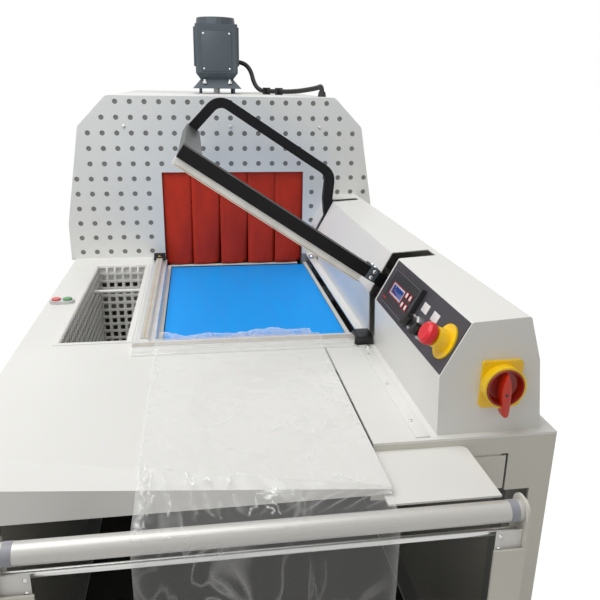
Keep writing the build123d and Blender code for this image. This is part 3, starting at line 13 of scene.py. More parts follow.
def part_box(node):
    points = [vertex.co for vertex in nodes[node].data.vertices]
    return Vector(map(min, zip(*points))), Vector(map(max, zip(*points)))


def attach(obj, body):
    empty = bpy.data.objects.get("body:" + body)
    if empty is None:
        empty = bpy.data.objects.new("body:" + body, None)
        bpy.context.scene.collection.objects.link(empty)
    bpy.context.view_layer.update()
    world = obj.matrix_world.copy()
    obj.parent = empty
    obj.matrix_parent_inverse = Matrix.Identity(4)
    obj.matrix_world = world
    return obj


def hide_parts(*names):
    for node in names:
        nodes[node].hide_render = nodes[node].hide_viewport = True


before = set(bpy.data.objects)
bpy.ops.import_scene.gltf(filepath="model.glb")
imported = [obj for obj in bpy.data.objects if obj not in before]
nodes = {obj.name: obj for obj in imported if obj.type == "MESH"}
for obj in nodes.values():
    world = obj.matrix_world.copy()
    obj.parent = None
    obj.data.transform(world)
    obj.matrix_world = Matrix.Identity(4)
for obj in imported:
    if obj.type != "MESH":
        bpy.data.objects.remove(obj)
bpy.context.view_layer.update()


def box_mm(node):
    """Lowest and highest corner of a solid at rest, in millimetres."""
    low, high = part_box(node)
    return Vector(low) * 1000, Vector(high) * 1000


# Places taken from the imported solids
deck_low, deck_high = box_mm("separator_deck")
housing_low = box_mm("arm_housing")[0]
hood_low, hood_high = box_mm("hood_front_panel")
belt_low, belt_high = box_mm("conveyor_belt")
guide_low, guide_high = box_mm("guide_roller")
jaw_low = box_mm("lower_jaws")[0]
bin_low, bin_high = box_mm("scrap_bin")
web_low, web_high = box_mm("film_web")
motor_low, motor_high = box_mm("fan_motor")
rods_low, rods_high = box_mm("curtain_rods")
deck_top = deck_high.z


def srgb(red, green, blue):
    """A colour as it looks on a screen, from 0 to 255, as the linear colour that a shader takes."""
    channels = []
    for value in (red, green, blue):
        share = value / 255
        channels.append(share / 12.92 if share <= 0.04045 else ((share + 0.055) / 1.055) ** 2.4)
    return (*channels, 1.0)


# Finishes


def new_finish(name):
    """A material with its node tree and its shader."""
    material = bpy.data.materials.new(name)
    material.use_nodes = True
    return material, material.node_tree, material.node_tree.nodes["Principled BSDF"]


def add_node(tree, kind, **settings):
    """A node with the given values on its sockets, or on itself where it has no such socket."""
    made = tree.nodes.new(kind)
    for key, value in settings.items():
        socket = key.replace("_", " ").title()
        if socket in made.inputs:
            made.inputs[socket].default_value = value
        else:
            setattr(made, key, value)
    return made


def surface_noise(tree, scale, detail=3.0, distortion=0.0, stretch=None):
    """Noise on the piece's own coordinates, stretched along an axis if asked."""
    place = add_node(tree, "ShaderNodeTexCoord")
    socket = place.outputs["Object"]
    if stretch:
        mapping = add_node(tree, "ShaderNodeMapping", scale=stretch)
        tree.links.new(socket, mapping.inputs["Vector"])
        socket = mapping.outputs["Vector"]
    grain = add_node(tree, "ShaderNodeTexNoise", scale=scale, detail=detail, distortion=distortion)
    tree.links.new(socket, grain.inputs["Vector"])
    return grain.outputs["Fac"]


def ramp(tree, factor, stops):
    """Colours along a factor."""
    made = tree.nodes.new("ShaderNodeValToRGB")
    elements = made.color_ramp.elements
    while len(elements) < len(stops):
        elements.new(0.5)
    for element, (position, colour) in zip(elements, stops):
        element.position = position
        element.color = colour
    tree.links.new(factor, made.inputs["Fac"])
    return made.outputs["Color"]


def spread(tree, factor, low, high):
    """A value between two limits along a factor."""
    made = add_node(tree, "ShaderNodeMapRange", from_min=0.3, from_max=0.7, to_min=low, to_max=high)
    tree.links.new(factor, made.inputs["Value"])
    return made.outputs["Result"]


def relief(tree, shader, height, strength, distance):
    """A bump on the shader's normal."""
    made = add_node(tree, "ShaderNodeBump", strength=strength, distance=distance)
    tree.links.new(height, made.inputs["Height"])
    tree.links.new(made.outputs["Normal"], shader.inputs["Normal"])


def shade(colour, share):
    """A colour made darker or lighter."""
    return (*(min(1.0, channel * share) for channel in colour[:3]), 1.0)


def drifting(name, colour, scale, detail, shades, roughness, ends=(0.3, 0.7), stretch=None):
    """A finish whose tone and roughness drift with a noise: its material, tree and shader, and the noise."""
    material, tree, shader = new_finish(name)
    drift = surface_noise(tree, scale, detail=detail, stretch=stretch)
    stops = [(end, shade(srgb(*colour), share)) for end, share in zip(ends, shades)]
    tree.links.new(ramp(tree, drift, stops), shader.inputs["Base Color"])
    tree.links.new(spread(tree, drift, *roughness), shader.inputs["Roughness"])
    return material, tree, shader, drift


def painted(name, colour, roughness=0.42, grain=900.0, strength=0.12, tone=0.03, gloss=0.5):
    """Powder paint: an orange-peel surface with faint clouds in tone and gloss."""
    limits = (roughness - 0.05, roughness + 0.05)
    material, tree, shader, _ = drifting(name, colour, 2.4, 5, (1 - tone, 1 + tone), limits, (0.35, 0.65))
    shader.inputs["Specular IOR Level"].default_value = gloss
    relief(tree, shader, surface_noise(tree, grain, detail=2), strength, 0.0004)
    return material


def calculated(tree, operation, *values, use_clamp=False):
    """The result of a calculation on sockets or numbers."""
    made = add_node(tree, "ShaderNodeMath", operation=operation, use_clamp=use_clamp)
    for entry, value in zip(made.inputs, values):
        if isinstance(value, float):
            entry.default_value = value
        else:
            tree.links.new(value, entry)
    return made.outputs[0]


def box_mask(tree, low, high):
    """1 inside a box on the piece's own coordinates, in metres, and 0 outside it."""
    place = add_node(tree, "ShaderNodeTexCoord")
    axes = add_node(tree, "ShaderNodeSeparateXYZ")
    tree.links.new(place.outputs["Object"], axes.inputs[0])
    inside = None
    for axis in range(3):
        for limit, operation in ((low[axis], "GREATER_THAN"), (high[axis], "LESS_THAN")):
            test = calculated(tree, operation, axes.outputs[axis], limit)
            inside = calculated(tree, "MULTIPLY", inside, test) if inside else test
    return inside


def recolour_box(material, low, high, colour):
    """Give a finish another colour inside a box on the piece's own coordinates."""
    tree = material.node_tree
    base = tree.nodes["Principled BSDF"].inputs["Base Color"]
    mix = add_node(tree, "ShaderNodeMixRGB", color2=colour)
    tree.links.new(box_mask(tree, low, high), mix.inputs["Fac"])
    tree.links.new(base.links[0].from_socket, mix.inputs["Color1"])
    tree.links.new(mix.outputs["Color"], base)


def metal(name, colour, roughness=0.3, stretch=(1, 60, 60), strength=0.05, metallic=1.0):
    """Metal with fine lines drawn along one axis."""
    limits = (roughness - 0.06, roughness + 0.08)
    material, tree, shader, lines = drifting(name, colour, 40.0, 4, (0.95, 1.0), limits, stretch=stretch)
    shader.inputs["Metallic"].default_value = metallic
    relief(tree, shader, lines, strength, 0.0003)
    return material


def moulded(name, colour, roughness=0.4, grain=1400.0, strength=0.08, coat=0.0):
    """Moulded plastic or rubber with a fine eroded skin."""
    limits = (roughness - 0.05, roughness + 0.06)
    material, tree, shader, _ = drifting(name, colour, 22.0, 4, (0.9, 1.06), limits, (0.35, 0.65))
    shader.inputs["Coat Weight"].default_value = coat
    relief(tree, shader, surface_noise(tree, grain, detail=2), strength, 0.0003)
    return material


def belt_weave(name, colour):
    """Conveyor belting: a fine square weave under a matt skin, a little scuffed along its travel."""
    scuffs = (6, 1, 1)
    material, tree, shader, _ = drifting(name, colour, 5.0, 6, (0.96, 1.04), (0.42, 0.5), stretch=scuffs)
    shader.inputs["Specular IOR Level"].default_value = 0.25
    place = add_node(tree, "ShaderNodeTexCoord")
    weave = add_node(tree, "ShaderNodeTexBrick", scale=260.0, mortar_size=0.03)
    tree.links.new(place.outputs["Object"], weave.inputs["Vector"])
    relief(tree, shader, weave.outputs["Fac"], 0.06, 0.0003)
    return material


def curtain_rubber(name, colour):
    """Silicone-coated curtain cloth: leathery, with long clouds down its length."""
    clouds = (2, 2, 0.7)
    material, tree, shader, _ = drifting(name, colour, 9.0, 6, (0.8, 1.1), (0.38, 0.55), stretch=clouds)
    shader.inputs["Specular IOR Level"].default_value = 0.25
    relief(tree, shader, surface_noise(tree, 420.0, detail=4), 0.18, 0.0005)
    return material


def ribbed_rubber(name, colour):
    """Ribbed conduit, with rings along its length."""
    material, tree, shader = new_finish(name)
    shader.inputs["Base Color"].default_value = srgb(*colour)
    tree.links.new(spread(tree, surface_noise(tree, 60.0), 0.36, 0.5), shader.inputs["Roughness"])
    place = add_node(tree, "ShaderNodeTexCoord")
    rings = add_node(tree, "ShaderNodeTexWave", scale=34.0, bands_direction="X")
    tree.links.new(place.outputs["UV"], rings.inputs["Vector"])
    relief(tree, shader, rings.outputs["Fac"], 0.6, 0.0015)
    return material


def clear_film(name):
    """Clear shrink film: see-through where it lies flat, whiter at a slant as painted reflection, with
    painted highlight threads along its wrinkles, and whiter where a point attribute gives folds and painted
    crease highlights.
    """
    material, tree, shader = new_finish(name)
    shader.inputs["Base Color"].default_value = (0.95, 0.955, 0.96, 1.0)
    shader.inputs["Roughness"].default_value = 0.08
    shader.inputs["Specular IOR Level"].default_value = 1.0
    wrinkles = surface_noise(tree, 8.0, detail=2.0, distortion=1.4, stretch=(1.0, 0.45, 0.7))
    black = (0, 0, 0, 1)
    # Thin lines along the wrinkles, in patches: painted highlights
    highlight_threads = ramp(tree, wrinkles, [(0.47, black), (0.5, (0.22, 0.22, 0.22, 1)), (0.53, black)])
    patches = ramp(tree, surface_noise(tree, 5.0, detail=3.0), [(0.45, black), (0.65, (1, 1, 1, 1))])
    # Whiter where the film is seen at a slant: painted reflection
    slant = add_node(tree, "ShaderNodeLayerWeight", blend=0.35)
    slant_reflection = spread(tree, slant.outputs["Facing"], 0.12, 0.4)
    painted_sheen = calculated(tree, "ADD", slant_reflection, calculated(tree, "MULTIPLY", highlight_threads, patches))
    # The film's point attribute: whiter on folds, and painted crease highlights
    folds = add_node(tree, "ShaderNodeAttribute", attribute_name="fold_and_highlight")
    whole = calculated(tree, "ADD", painted_sheen, folds.outputs["Fac"], use_clamp=True)
    tree.links.new(whole, shader.inputs["Alpha"])
    relief(tree, shader, wrinkles, 0.4, 0.01)
    return material


pearl_paint = painted("pearl_paint", (227, 227, 224))
# A darker copy of the pearl paint for the cabinet's parts: painted shade on its front
cabinet_paint = painted("cabinet_paint", (210, 208, 199))
# Painted shade: the base pan inside the cabinet is coloured dark where it lies in shade
recolour_box(cabinet_paint, (-0.42, -1.05, 0.09), (0.43, 1.225, 0.105), srgb(58, 57, 54))
hood_paint = painted("hood_paint", (230, 231, 229), roughness=0.5, grain=300.0, strength=0.6)
frame_paint = painted("frame_paint", (150, 150, 148))
panel_paint = painted("panel_paint", (62, 60, 66), roughness=0.5, strength=0.2)
arm_grain = {"grain": 700.0, "tone": 0.15}
arm_paint = painted("arm_paint", (15, 15, 17), roughness=0.5, strength=0.25, gloss=0.2, **arm_grain)
# The left beam gets a lighter and glossier copy of the arm's black paint: painted light for its brighter look
# at a slant
beam_lit_gloss = painted("beam_lit_gloss", (22, 22, 24), roughness=0.34, strength=0.2, gloss=1.0, **arm_grain)
motor_paint = painted("motor_paint", (74, 84, 92), roughness=0.45, grain=350.0, strength=0.4, tone=0.12)
controller_plastic = moulded("controller_plastic", (40, 40, 44), roughness=0.45)
knob_plastic = moulded("knob_plastic", (20, 20, 22), roughness=0.35)
signal_yellow = moulded("signal_yellow", (250, 205, 12), roughness=0.35, coat=0.2)
signal_red = moulded("signal_red", (224, 22, 38), roughness=0.34, coat=0.1)
dial_red = moulded("dial_red", (152, 30, 8), roughness=0.36, coat=0.1)
lever_red = moulded("lever_red", (206, 44, 12), roughness=0.34, coat=0.1)
stop_red = moulded("stop_red", (214, 52, 48), roughness=0.3, coat=0.3)
start_green = moulded("start_green", (52, 140, 66), roughness=0.3, coat=0.3)
bezel_plastic = moulded("bezel_plastic", (205, 206, 206), roughness=0.3)
cable_rubber = moulded("cable_rubber", (22, 22, 23), roughness=0.5)
foot_rubber = moulded("foot_rubber", (45, 45, 46), roughness=0.6)
jaw_cream = moulded("jaw_cream", (250, 249, 245), roughness=0.5)
pad_silicone = moulded("pad_silicone", (196, 194, 188), roughness=0.42)
chamber_skin = metal("chamber_skin", (176, 176, 174), roughness=0.42)
bright_steel = metal("bright_steel", (215, 215, 214), roughness=0.16)
ground_steel = metal("ground_steel", (205, 205, 203), roughness=0.28)
roller_satin = metal("roller_satin", (198, 196, 192), roughness=0.36, stretch=(60, 1, 1), metallic=0.35)
jaw_aluminium = metal(
    "jaw_aluminium", (232, 232, 230), roughness=0.42, stretch=(1, 1, 60), strength=0.02, metallic=0.7,
)
belt_blue = belt_weave("belt_blue", (0, 162, 255))
tunnel_weave = belt_weave("tunnel_weave", (112, 88, 62))
curtain_red = curtain_rubber("curtain_red", (206, 54, 32))
film_clear = clear_film("film_clear")
film_wound = moulded("film_wound", (214, 219, 221), roughness=0.16, grain=90.0, strength=0.1, coat=0.5)

node_finishes = (
    (pearl_paint, ("separator_deck", "right_deck", "tunnel_base_plates", "film_platform", "arm_housing",
                   "conveyor_side_frames")),
    (cabinet_paint, ("cabinet_panels", "front_panel", "film_cradle_frame")),
    (hood_paint, ("hood_front_panel", "hood_shell", "hood_rear_panel")),
    (frame_paint, ("cabinet_frame",)),
    (foot_rubber, ("levelling_feet",)),
    (panel_paint, ("control_panel_plate",)),
    (controller_plastic, ("controller_unit",)),
    (bright_steel, ("selector_bezels",)),
    (knob_plastic, ("selector_knob_front", "selector_knob_rear", "cable_fittings", "magnet_block")),
    (signal_yellow, ("estop_guard", "isolator_plate")),
    (signal_red, ("estop_button",)),
    (lever_red, ("isolator_handle",)),
    (bezel_plastic, ("start_stop_bezel",)),
    (stop_red, ("stop_button",)),
    (start_green, ("start_button",)),
    (jaw_aluminium, ("lower_jaws", "tunnel_rails", "fan_wheel")),
    (pad_silicone, ("seal_pads",)),
    (arm_paint, ("arm_front_beam", "arm_rear_tube")),
    (beam_lit_gloss, ("arm_left_beam",)),
    (jaw_cream, ("arm_jaws",)),
    (ground_steel, ("arm_shaft", "heater_elements", "curtain_rods", "guide_rod")),
    (motor_paint, ("arm_bearings", "fan_motor", "belt_motor")),
    (roller_satin, ("drive_roller", "idler_roller", "tunnel_drive_roller", "guide_roller")),
    (belt_blue, ("conveyor_belt",)),
    (tunnel_weave, ("tunnel_belt",)),
    (chamber_skin, ("tunnel_chamber",)),
    (cable_rubber, ("motor_cable",)),
    (film_wound, ("film_roll",)),
)
for finish, names in node_finishes:
    for name in names:
        nodes[name].material_slots[0].material = finish


# Shaping


def bevel(bm, edges, width):
    """Round edges off."""
    bmesh.ops.bevel(
        bm, geom=edges, offset=width, offset_type="OFFSET", segments=2, profile=0.5,
        affect="EDGES", clamp_overlap=True, material=-1,
    )


def raise_faces(bm, reach):
    """Extrude all the faces along a vector into a closed shape, and return the raised points."""
    raised = bmesh.ops.extrude_face_region(bm, geom=bm.faces[:])["geom"]
    points = [part for part in raised if isinstance(part, bmesh.types.BMVert)]
    bmesh.ops.translate(bm, vec=reach, verts=points)
    bmesh.ops.recalc_face_normals(bm, faces=bm.faces)
    return points


def rounded_block(size, edge):
    """A block about its own centre, with its edges rounded."""
    bm = bmesh.new()
    bmesh.ops.create_cube(bm, size=1.0)
    bmesh.ops.scale(bm, vec=size, verts=bm.verts)
    bevel(bm, bm.edges[:], edge)
    return bm


def turned(profile, segments):
    """A shape turned about Z from a profile of radii and heights."""
    bm = bmesh.new()
    points = [bm.verts.new((radius, 0, height)) for radius, height in profile]
    edges = [bm.edges.new(pair) for pair in zip(points, points[1:])]
    bmesh.ops.spin(
        bm, geom=points + edges, cent=(0, 0, 0), axis=(0, 0, 1), angle=2 * pi, steps=segments, use_merge=True,
    )
    bmesh.ops.remove_doubles(bm, verts=bm.verts, dist=0.001)
    bmesh.ops.recalc_face_normals(bm, faces=bm.faces)
    return bm


def flat_plate(outline, thickness, edge):
    """A plate on the XY plane, drawn from an outline and raised along Z, with its upper rim rounded."""
    bm = bmesh.new()
    bm.faces.new([bm.verts.new((x, y, 0)) for x, y in outline])
    top = raise_faces(bm, (0, 0, thickness))
    bevel(bm, [e for e in bm.edges if all(v in top for v in e.verts)], edge)
    return bm


def place_at(origin, z_dir=(0, 0, 1), x_dir=None):
    """A place with its Z along one direction, and its X along another if it matters."""
    z_axis = Vector(z_dir).normalized()
    upright = abs(z_axis.z) > 0.9
    x_hint = Vector(x_dir) if x_dir else Vector((1, 0, 0) if upright else (0, 0, 1))
    y_axis = z_axis.cross(x_hint).normalized()
    x_axis = y_axis.cross(z_axis)
    turn = Matrix((x_axis, y_axis, z_axis)).transposed().to_4x4()
    return Matrix.Translation(origin) @ turn


def add(bm, shape, place):
    """Add a shape to a larger one, moved to its place."""
    shape.transform(place)
    mesh = bpy.data.meshes.new("added_shape")
    shape.to_mesh(mesh)
    shape.free()
    bm.from_mesh(mesh)
    bpy.data.meshes.remove(mesh)


def bar_frame(bm, middle, size, bar, edge, gap=0.0):
    """Add four bars round an oblong: two along Y, and two along X between them with a gap in all."""
    width, length, height = size
    for side in (-1, 1):
        to_side = Vector((side * (width - bar) / 2, 0, 0))
        add(bm, rounded_block((bar, length, height), edge), place_at(Vector(middle) + to_side))
        to_end = Vector((0, side * (length - bar) / 2, 0))
        add(bm, rounded_block((width - 2 * bar - gap, bar, height), edge), place_at(Vector(middle) + to_end))


def put(name, bm, finish, body, sharp=35, place=None):
    """Put a shape in the scene, moved to its place, as a piece that rides on a body."""
    if place:
        bm.transform(place)
    bmesh.ops.scale(bm, vec=(0.001, 0.001, 0.001), verts=bm.verts)
    mesh = bpy.data.meshes.new(name)
    bm.to_mesh(mesh)
    bm.free()
    mesh.materials.append(finish)
    mesh.shade_smooth()
    mesh.set_sharp_from_angle(angle=radians(sharp))
    piece = bpy.data.objects.new(name, mesh)
    bpy.context.collection.objects.link(piece)
    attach(piece, body)
    return piece


def thicken(piece, thickness):
    """Give a sheet its thickness, in millimetres, on both sides."""
    wall = piece.modifiers.new("thickness", "SOLIDIFY")
    wall.thickness = thickness / 1000
    wall.offset = 0.0


def pan_head(radius):
    """A pan-head screw that stands on its own origin."""
    height = 0.62 * radius
    dome = [(0, height), (0.55 * radius, 0.94 * height), (0.86 * radius, 0.6 * height)]
    return turned(dome + [(radius, 0), (0, 0)], 16)


# Film: from the roll over the guide roller, the tray and the front jaw, with a loose tail on the belt
film_left = web_low.x
film_right = web_high.x
film_columns = 200
film_rows = 400
tray_left_x = deck_low.x + 2
tray_left_y = -1013.0
tray_right_x = deck_high.x
tray_nose_y = -1172.0
front_jaw_y = -639.5
guide_y = (guide_low.y + guide_high.y) / 2
guide_z = (guide_low.z + guide_high.z) / 2
guide_radius = (guide_high.y - guide_low.y) / 2
film_lift = 0.6
roll_top = 498.0
# Shares of the film's path: end of its loose tail, tray's edge, top of the guide roller, where it hangs free
tail_share = 0.10
edge_share = 0.46
guide_share = 0.56
hang_share = 0.62
jaw_shares = (0.11, 0.16)
pressed_lift = 0.4


def tray_edge(x):
    """Y of the tray's slanted front edge."""
    return tray_left_y + (tray_nose_y - tray_left_y) * (x - tray_left_x) / (tray_right_x - tray_left_x)


def film_stations(x):
    """The film's path at X: shares of its length with their Y, Z and how far it may crinkle."""
    wrap = guide_radius + film_lift
    corner = wrap * sin(pi / 4)
    return (
        (0.0, belt_low.y + 78, belt_high.z + 1.2, 3.0),
        (0.05, belt_low.y + 30, belt_high.z + film_lift, 2.0),
        (tail_share, front_jaw_y + 45, deck_top + 1, 2.0),
        (0.12, front_jaw_y + 24, deck_top + 14 + film_lift, 0.3),
        (0.15, front_jaw_y - 22, deck_top + 14 + film_lift, 0.3),
        (0.18, front_jaw_y - 55, deck_top + film_lift, 1.6),
        (edge_share, tray_edge(x) + 4, deck_top + film_lift, 1.8),
        (0.47, tray_edge(x) - 3, deck_top + film_lift, 1.2),
        (guide_share, guide_y + 8, guide_z + wrap + 0.3, 1.0),
        (0.58, guide_y, guide_z + wrap, 0.4),
        (0.60, guide_y - corner, guide_z + corner, 0.3),
        (hang_share, guide_y - wrap, guide_z, 0.3),
        (0.70, guide_y - wrap, guide_z - 70, 2.4),
        (1.0, guide_y - wrap, roll_top, 1.5),
    )


def film_point(x, share):
    """A point of the film before it crinkles, with how far it may."""
    stations = film_stations(x)
    for before, after in zip(stations, stations[1:]):
        if share <= after[0]:
            part = (share - before[0]) / (after[0] - before[0])
            return [a + (b - a) * part for a, b in zip(before[1:], after[1:])]
    return list(stations[-1][1:])


def crinkle(point, scale):
    """Sharp ridges between flat facets, from 0 to about 1, as stiff film crinkles."""
    ridges = noise.ridged_multi_fractal(point * scale, 0.9, 2.1, 4, 1.0, 1.6)
    return max(0.0, min(1.0, ridges / 2.2))


# Creases with painted highlights: start and end as shares of the width and of the path, width, brightness
film_highlight_creases = (
    (0.030, 0.455, 0.022, 0.600, 0.012, 0.55), (0.052, 0.462, 0.046, 0.570, 0.007, 0.45),
    (0.100, 0.470, 0.140, 0.545, 0.014, 0.20), (0.140, 0.515, 0.132, 0.545, 0.005, 0.60),
    (0.056, 0.520, 0.072, 0.508, 0.006, 0.80), (0.090, 0.461, 0.148, 0.462, 0.005, 0.60),
    (0.192, 0.466, 0.216, 0.487, 0.007, 0.95), (0.216, 0.487, 0.234, 0.474, 0.005, 0.90),
    (0.262, 0.484, 0.288, 0.474, 0.006, 0.85), (0.288, 0.474, 0.304, 0.491, 0.005, 0.90),
    (0.374, 0.468, 0.352, 0.492, 0.006, 0.75), (0.388, 0.461, 0.452, 0.463, 0.005, 0.70),
    (0.212, 0.505, 0.232, 0.555, 0.016, 0.16), (0.262, 0.500, 0.300, 0.550, 0.018, 0.18),
    (0.325, 0.515, 0.320, 0.556, 0.014, 0.18), (0.378, 0.505, 0.425, 0.552, 0.020, 0.16),
    (0.466, 0.508, 0.546, 0.490, 0.009, 0.95), (0.500, 0.512, 0.540, 0.502, 0.010, 0.90),
    (0.471, 0.510, 0.437, 0.558, 0.006, 0.75), (0.495, 0.520, 0.529, 0.556, 0.005, 0.70),
    (0.524, 0.515, 0.553, 0.556, 0.005, 0.65), (0.600, 0.480, 0.622, 0.520, 0.008, 0.20),
    (0.777, 0.457, 0.806, 0.450, 0.007, 0.70), (0.806, 0.450, 0.913, 0.460, 0.006, 0.60),
    (0.640, 0.330, 0.700, 0.345, 0.005, 0.18), (0.030, 0.400, 0.180, 0.440, 0.007, 0.12),
    (0.050, 0.380, 0.200, 0.425, 0.006, 0.10), (0.880, 0.250, 0.940, 0.300, 0.005, 0.16),
)
crease_reach = 0.03


def painted_crease_highlight(across, share):
    """Painted highlight along the creases near a spot of the film: how bright it is."""
    path_scale = 2.2
    light = 0.0
    wander = Vector((across * 38, share * 110, 0.7))
    broken = max(0.3, min(1.0, 0.6 + 1.5 * noise.noise(wander * 1.3)))
    across += 0.016 * noise.noise(wander * 0.8 + Vector((0, 0, 3.1)))
    share += 0.007 * noise.noise(wander * 0.8 + Vector((0, 0, 8.3)))
    for start_x, start_s, end_x, end_s, width, bright in film_highlight_creases:
        if not min(start_s, end_s) - crease_reach < share < max(start_s, end_s) + crease_reach:
            continue
        start = Vector((start_x, path_scale * start_s))
        run = Vector((end_x, path_scale * end_s)) - start
        spot = Vector((across, path_scale * share)) - start
        along = max(0.0, min(1.0, spot.dot(run) / run.length_squared))
        away = (spot - run * along).length / width
        taper = 0.3 + 0.7 * sin(pi * along)
        light = max(light, bright * max(0.0, 1 - away / (1.3 * taper)))
    return light * broken


film_bm = bmesh.new()
bmesh.ops.create_grid(film_bm, x_segments=film_columns, y_segments=film_rows, size=0.5)
film_folds_and_highlights = []
for vert in film_bm.verts:
    across = vert.co.x + 0.5
    share = vert.co.y + 0.5
    x = film_left + (film_right - film_left) * across
    y, z, slack = film_point(x, share)
    spot = Vector((x, y, z))
    rim = max(0.0, abs(2 * across - 1) - 0.85) / 0.15
    lift = slack * (1.6 * crinkle(spot, 0.009) + 1.4 * rim * crinkle(spot, 0.03))
    # Whiter towards the side edges, and on the loose tail's ripples and end: folds with painted highlight
    fold_and_highlight = 0.16 * rim ** 3
    if share < tail_share:
        loose = (tail_share - share) / tail_share
        ripple = crinkle(spot, 0.04)
        y += 30 * loose * noise.noise(Vector((x * 0.014, 7.1, 0)))
        lift += loose * (9 * max(0.0, noise.noise(Vector((x * 0.02, 2.3, 0)))) + 5 * ripple)
        fold_and_highlight += 0.35 * loose * ripple + 0.3 * max(0.0, 1 - share / 0.004)
    if edge_share < share < guide_share:
        part = (share - edge_share) / (guide_share - edge_share)
        free = sin(pi * part)
        fan = across * (8.0 + 2.5 * part) + 1.6 * noise.noise(Vector((x * 0.011, 1.7 + 0.8 * part, 0)))
        lift += free * (1.6 * sin(2 * pi * fan) - 4.0)
    # Painted crease highlights whiten the film and lift its creases a little
    light = painted_crease_highlight(across, share)
    film_folds_and_highlights.append(fold_and_highlight + light)
    lift += 1.2 * light
    if jaw_shares[0] < share < jaw_shares[1] or share > guide_share:
        lift = min(lift, pressed_lift)
    if share > hang_share:
        free = min(1.0, (share - hang_share) / 0.05)
        y += free * 1.4 * noise.noise(Vector((x * 0.025, z * 0.004, 3.0)))
        lift = 0
    vert.co = (x, y, z + lift)
film = put("film_web_sheet", film_bm, film_clear, "base", sharp=180)
# Folds and painted highlights go to the film's material as a point attribute
fold_and_highlight_values = film.data.attributes.new("fold_and_highlight", "FLOAT", "POINT")
fold_and_highlight_values.data.foreach_set("value", film_folds_and_highlights)
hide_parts("film_web")

# Strip curtains: each strip hangs from its rod, with a soft wave and a slight twist towards its foot
rod_z = (rods_low.z + rods_high.z) / 2
strip_top = rod_z - 5
strip_columns = 10
strip_rows = 30
strip_slack = 4.5
strip_curl = 48.0
strip_skew = 15.0
strip_wave = 2.0
# Both curtains curl towards the tunnel's inside, the exit's less
entry_curl = 1.0
exit_curl = -0.5


def hanging_strip(low, high, rod_y, number, inward):
    """A strip between the corners of its solid: flat under its rod, curled and a little askew at its foot."""
    bm = bmesh.new()
    bmesh.ops.create_grid(bm, x_segments=strip_columns, y_segments=strip_rows, size=0.5)
    middle = (low.x + high.x) / 2
    width = high.x - low.x - 0.6
    for vert in bm.verts:
        across = vert.co.x
        drop = 0.5 - vert.co.y
        foot = drop ** 2
        curl = strip_curl * (across - 0.12 * sin(1.9 * number)) ** 2 * foot
        skew = strip_skew * across * foot
        wave = strip_wave * sin(2 * pi * drop + number) * drop
        x = middle + width * across * (1 - 0.004 * foot) + 0.6 * sin(2.3 * number) * foot
        z = strip_top - (strip_top - low.z + strip_slack) * drop
        vert.co = (x, rod_y + inward * (curl + skew + wave), z)
    return bm


def strip_hem(low, high, rod_y):
    """The sewn hem of a strip, round its rod."""
    bm = turned([(4.1, -0.5), (7, -0.5), (7, 0.5), (4.1, 0.5), (4.1, -0.5)], 24)
    width = high.x - low.x - 0.4
    middle = ((low.x + high.x) / 2, rod_y, rod_z)
    bm.transform(place_at(middle, (1, 0, 0)) @ Matrix.Diagonal((1, 1, width, 1)))
    return bm


def hang_strip(name, body, low, high, rod_y, number, inward):
    """Hang a strip and its hem on a body, and return the strip."""
    cloth = hanging_strip(low, high, rod_y, number, inward)
    strip = put(f"{name}_cloth", cloth, curtain_red, body, sharp=60)
    thicken(strip, 2.0)
    hem = put(f"{name}_hem", strip_hem(low, high, rod_y), curtain_red, body)
    return strip


exit_low, exit_high = box_mm("exit_curtain")
exit_y = (exit_low.y + exit_high.y) / 2
for number in range(1, 6):
    node = f"curtain_strip_{number}"
    strip_low, strip_high = box_mm(node)
    entry_y = (strip_low.y + strip_high.y) / 2
    strip = hang_strip(node, node, strip_low, strip_high, entry_y, number, entry_curl)
    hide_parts(node)
    strip_low.y, strip_high.y = exit_low.y, exit_high.y
    strip = hang_strip(
        f"exit_strip_{number}", "exit_curtain", strip_low, strip_high, exit_y, number + 7, exit_curl,
    )
    if number == 1:
        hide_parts("exit_curtain")

# Scrap basket: perforated sheet with square holes, a folded rim and a cross rod
basket_rim = 12.0
hole_pitch = 22.5
hole_web = 9.2


def perforated_sheet(width, height):
    """A sheet on the XY plane, about its centre, with square holes in rows and columns."""
    bm = bmesh.new()
    columns = round(width / hole_pitch)
    rows = round(height / hole_pitch)
    bmesh.ops.create_grid(bm, x_segments=columns, y_segments=rows, size=0.5)
    bmesh.ops.scale(bm, vec=(width, height, 1), verts=bm.verts)
    cells = bm.faces[:]
    bmesh.ops.inset_individual(bm, faces=cells, thickness=hole_web / 2, use_even_offset=True)
    bmesh.ops.delete(bm, geom=cells, context="FACES")
    return bm


basket_low = Vector((bin_low.x + basket_rim, bin_low.y + basket_rim, bin_low.z + 1))
basket_high = Vector((bin_high.x - basket_rim, bin_high.y - basket_rim, deck_top))
basket_mid = (basket_low + basket_high) / 2
basket_size = basket_high - basket_low
basket = bmesh.new()
for side_x in (basket_low.x + 1, basket_high.x - 1):
    side = perforated_sheet(basket_size.y, basket_size.z)
    add(basket, side, place_at((side_x, basket_mid.y, basket_mid.z), (1, 0, 0), (0, 1, 0)))
for end_y in (basket_low.y + 1, basket_high.y - 1):
    end = perforated_sheet(basket_size.x - 4, basket_size.z)
    add(basket, end, place_at((basket_mid.x, end_y, basket_mid.z), (0, 1, 0), (1, 0, 0)))
basket_floor = perforated_sheet(basket_size.x - 4, basket_size.y - 4)
add(basket, basket_floor, place_at((basket_mid.x, basket_mid.y, basket_low.z), (0, 0, 1), (1, 0, 0)))
basket = put("scrap_basket", basket, pearl_paint, "scrap_bin")
thicken(basket, 1.4)
rim = bmesh.new()
rim_span = bin_high - bin_low
rim_middle = (basket_mid.x, basket_mid.y, deck_top + 0.8)
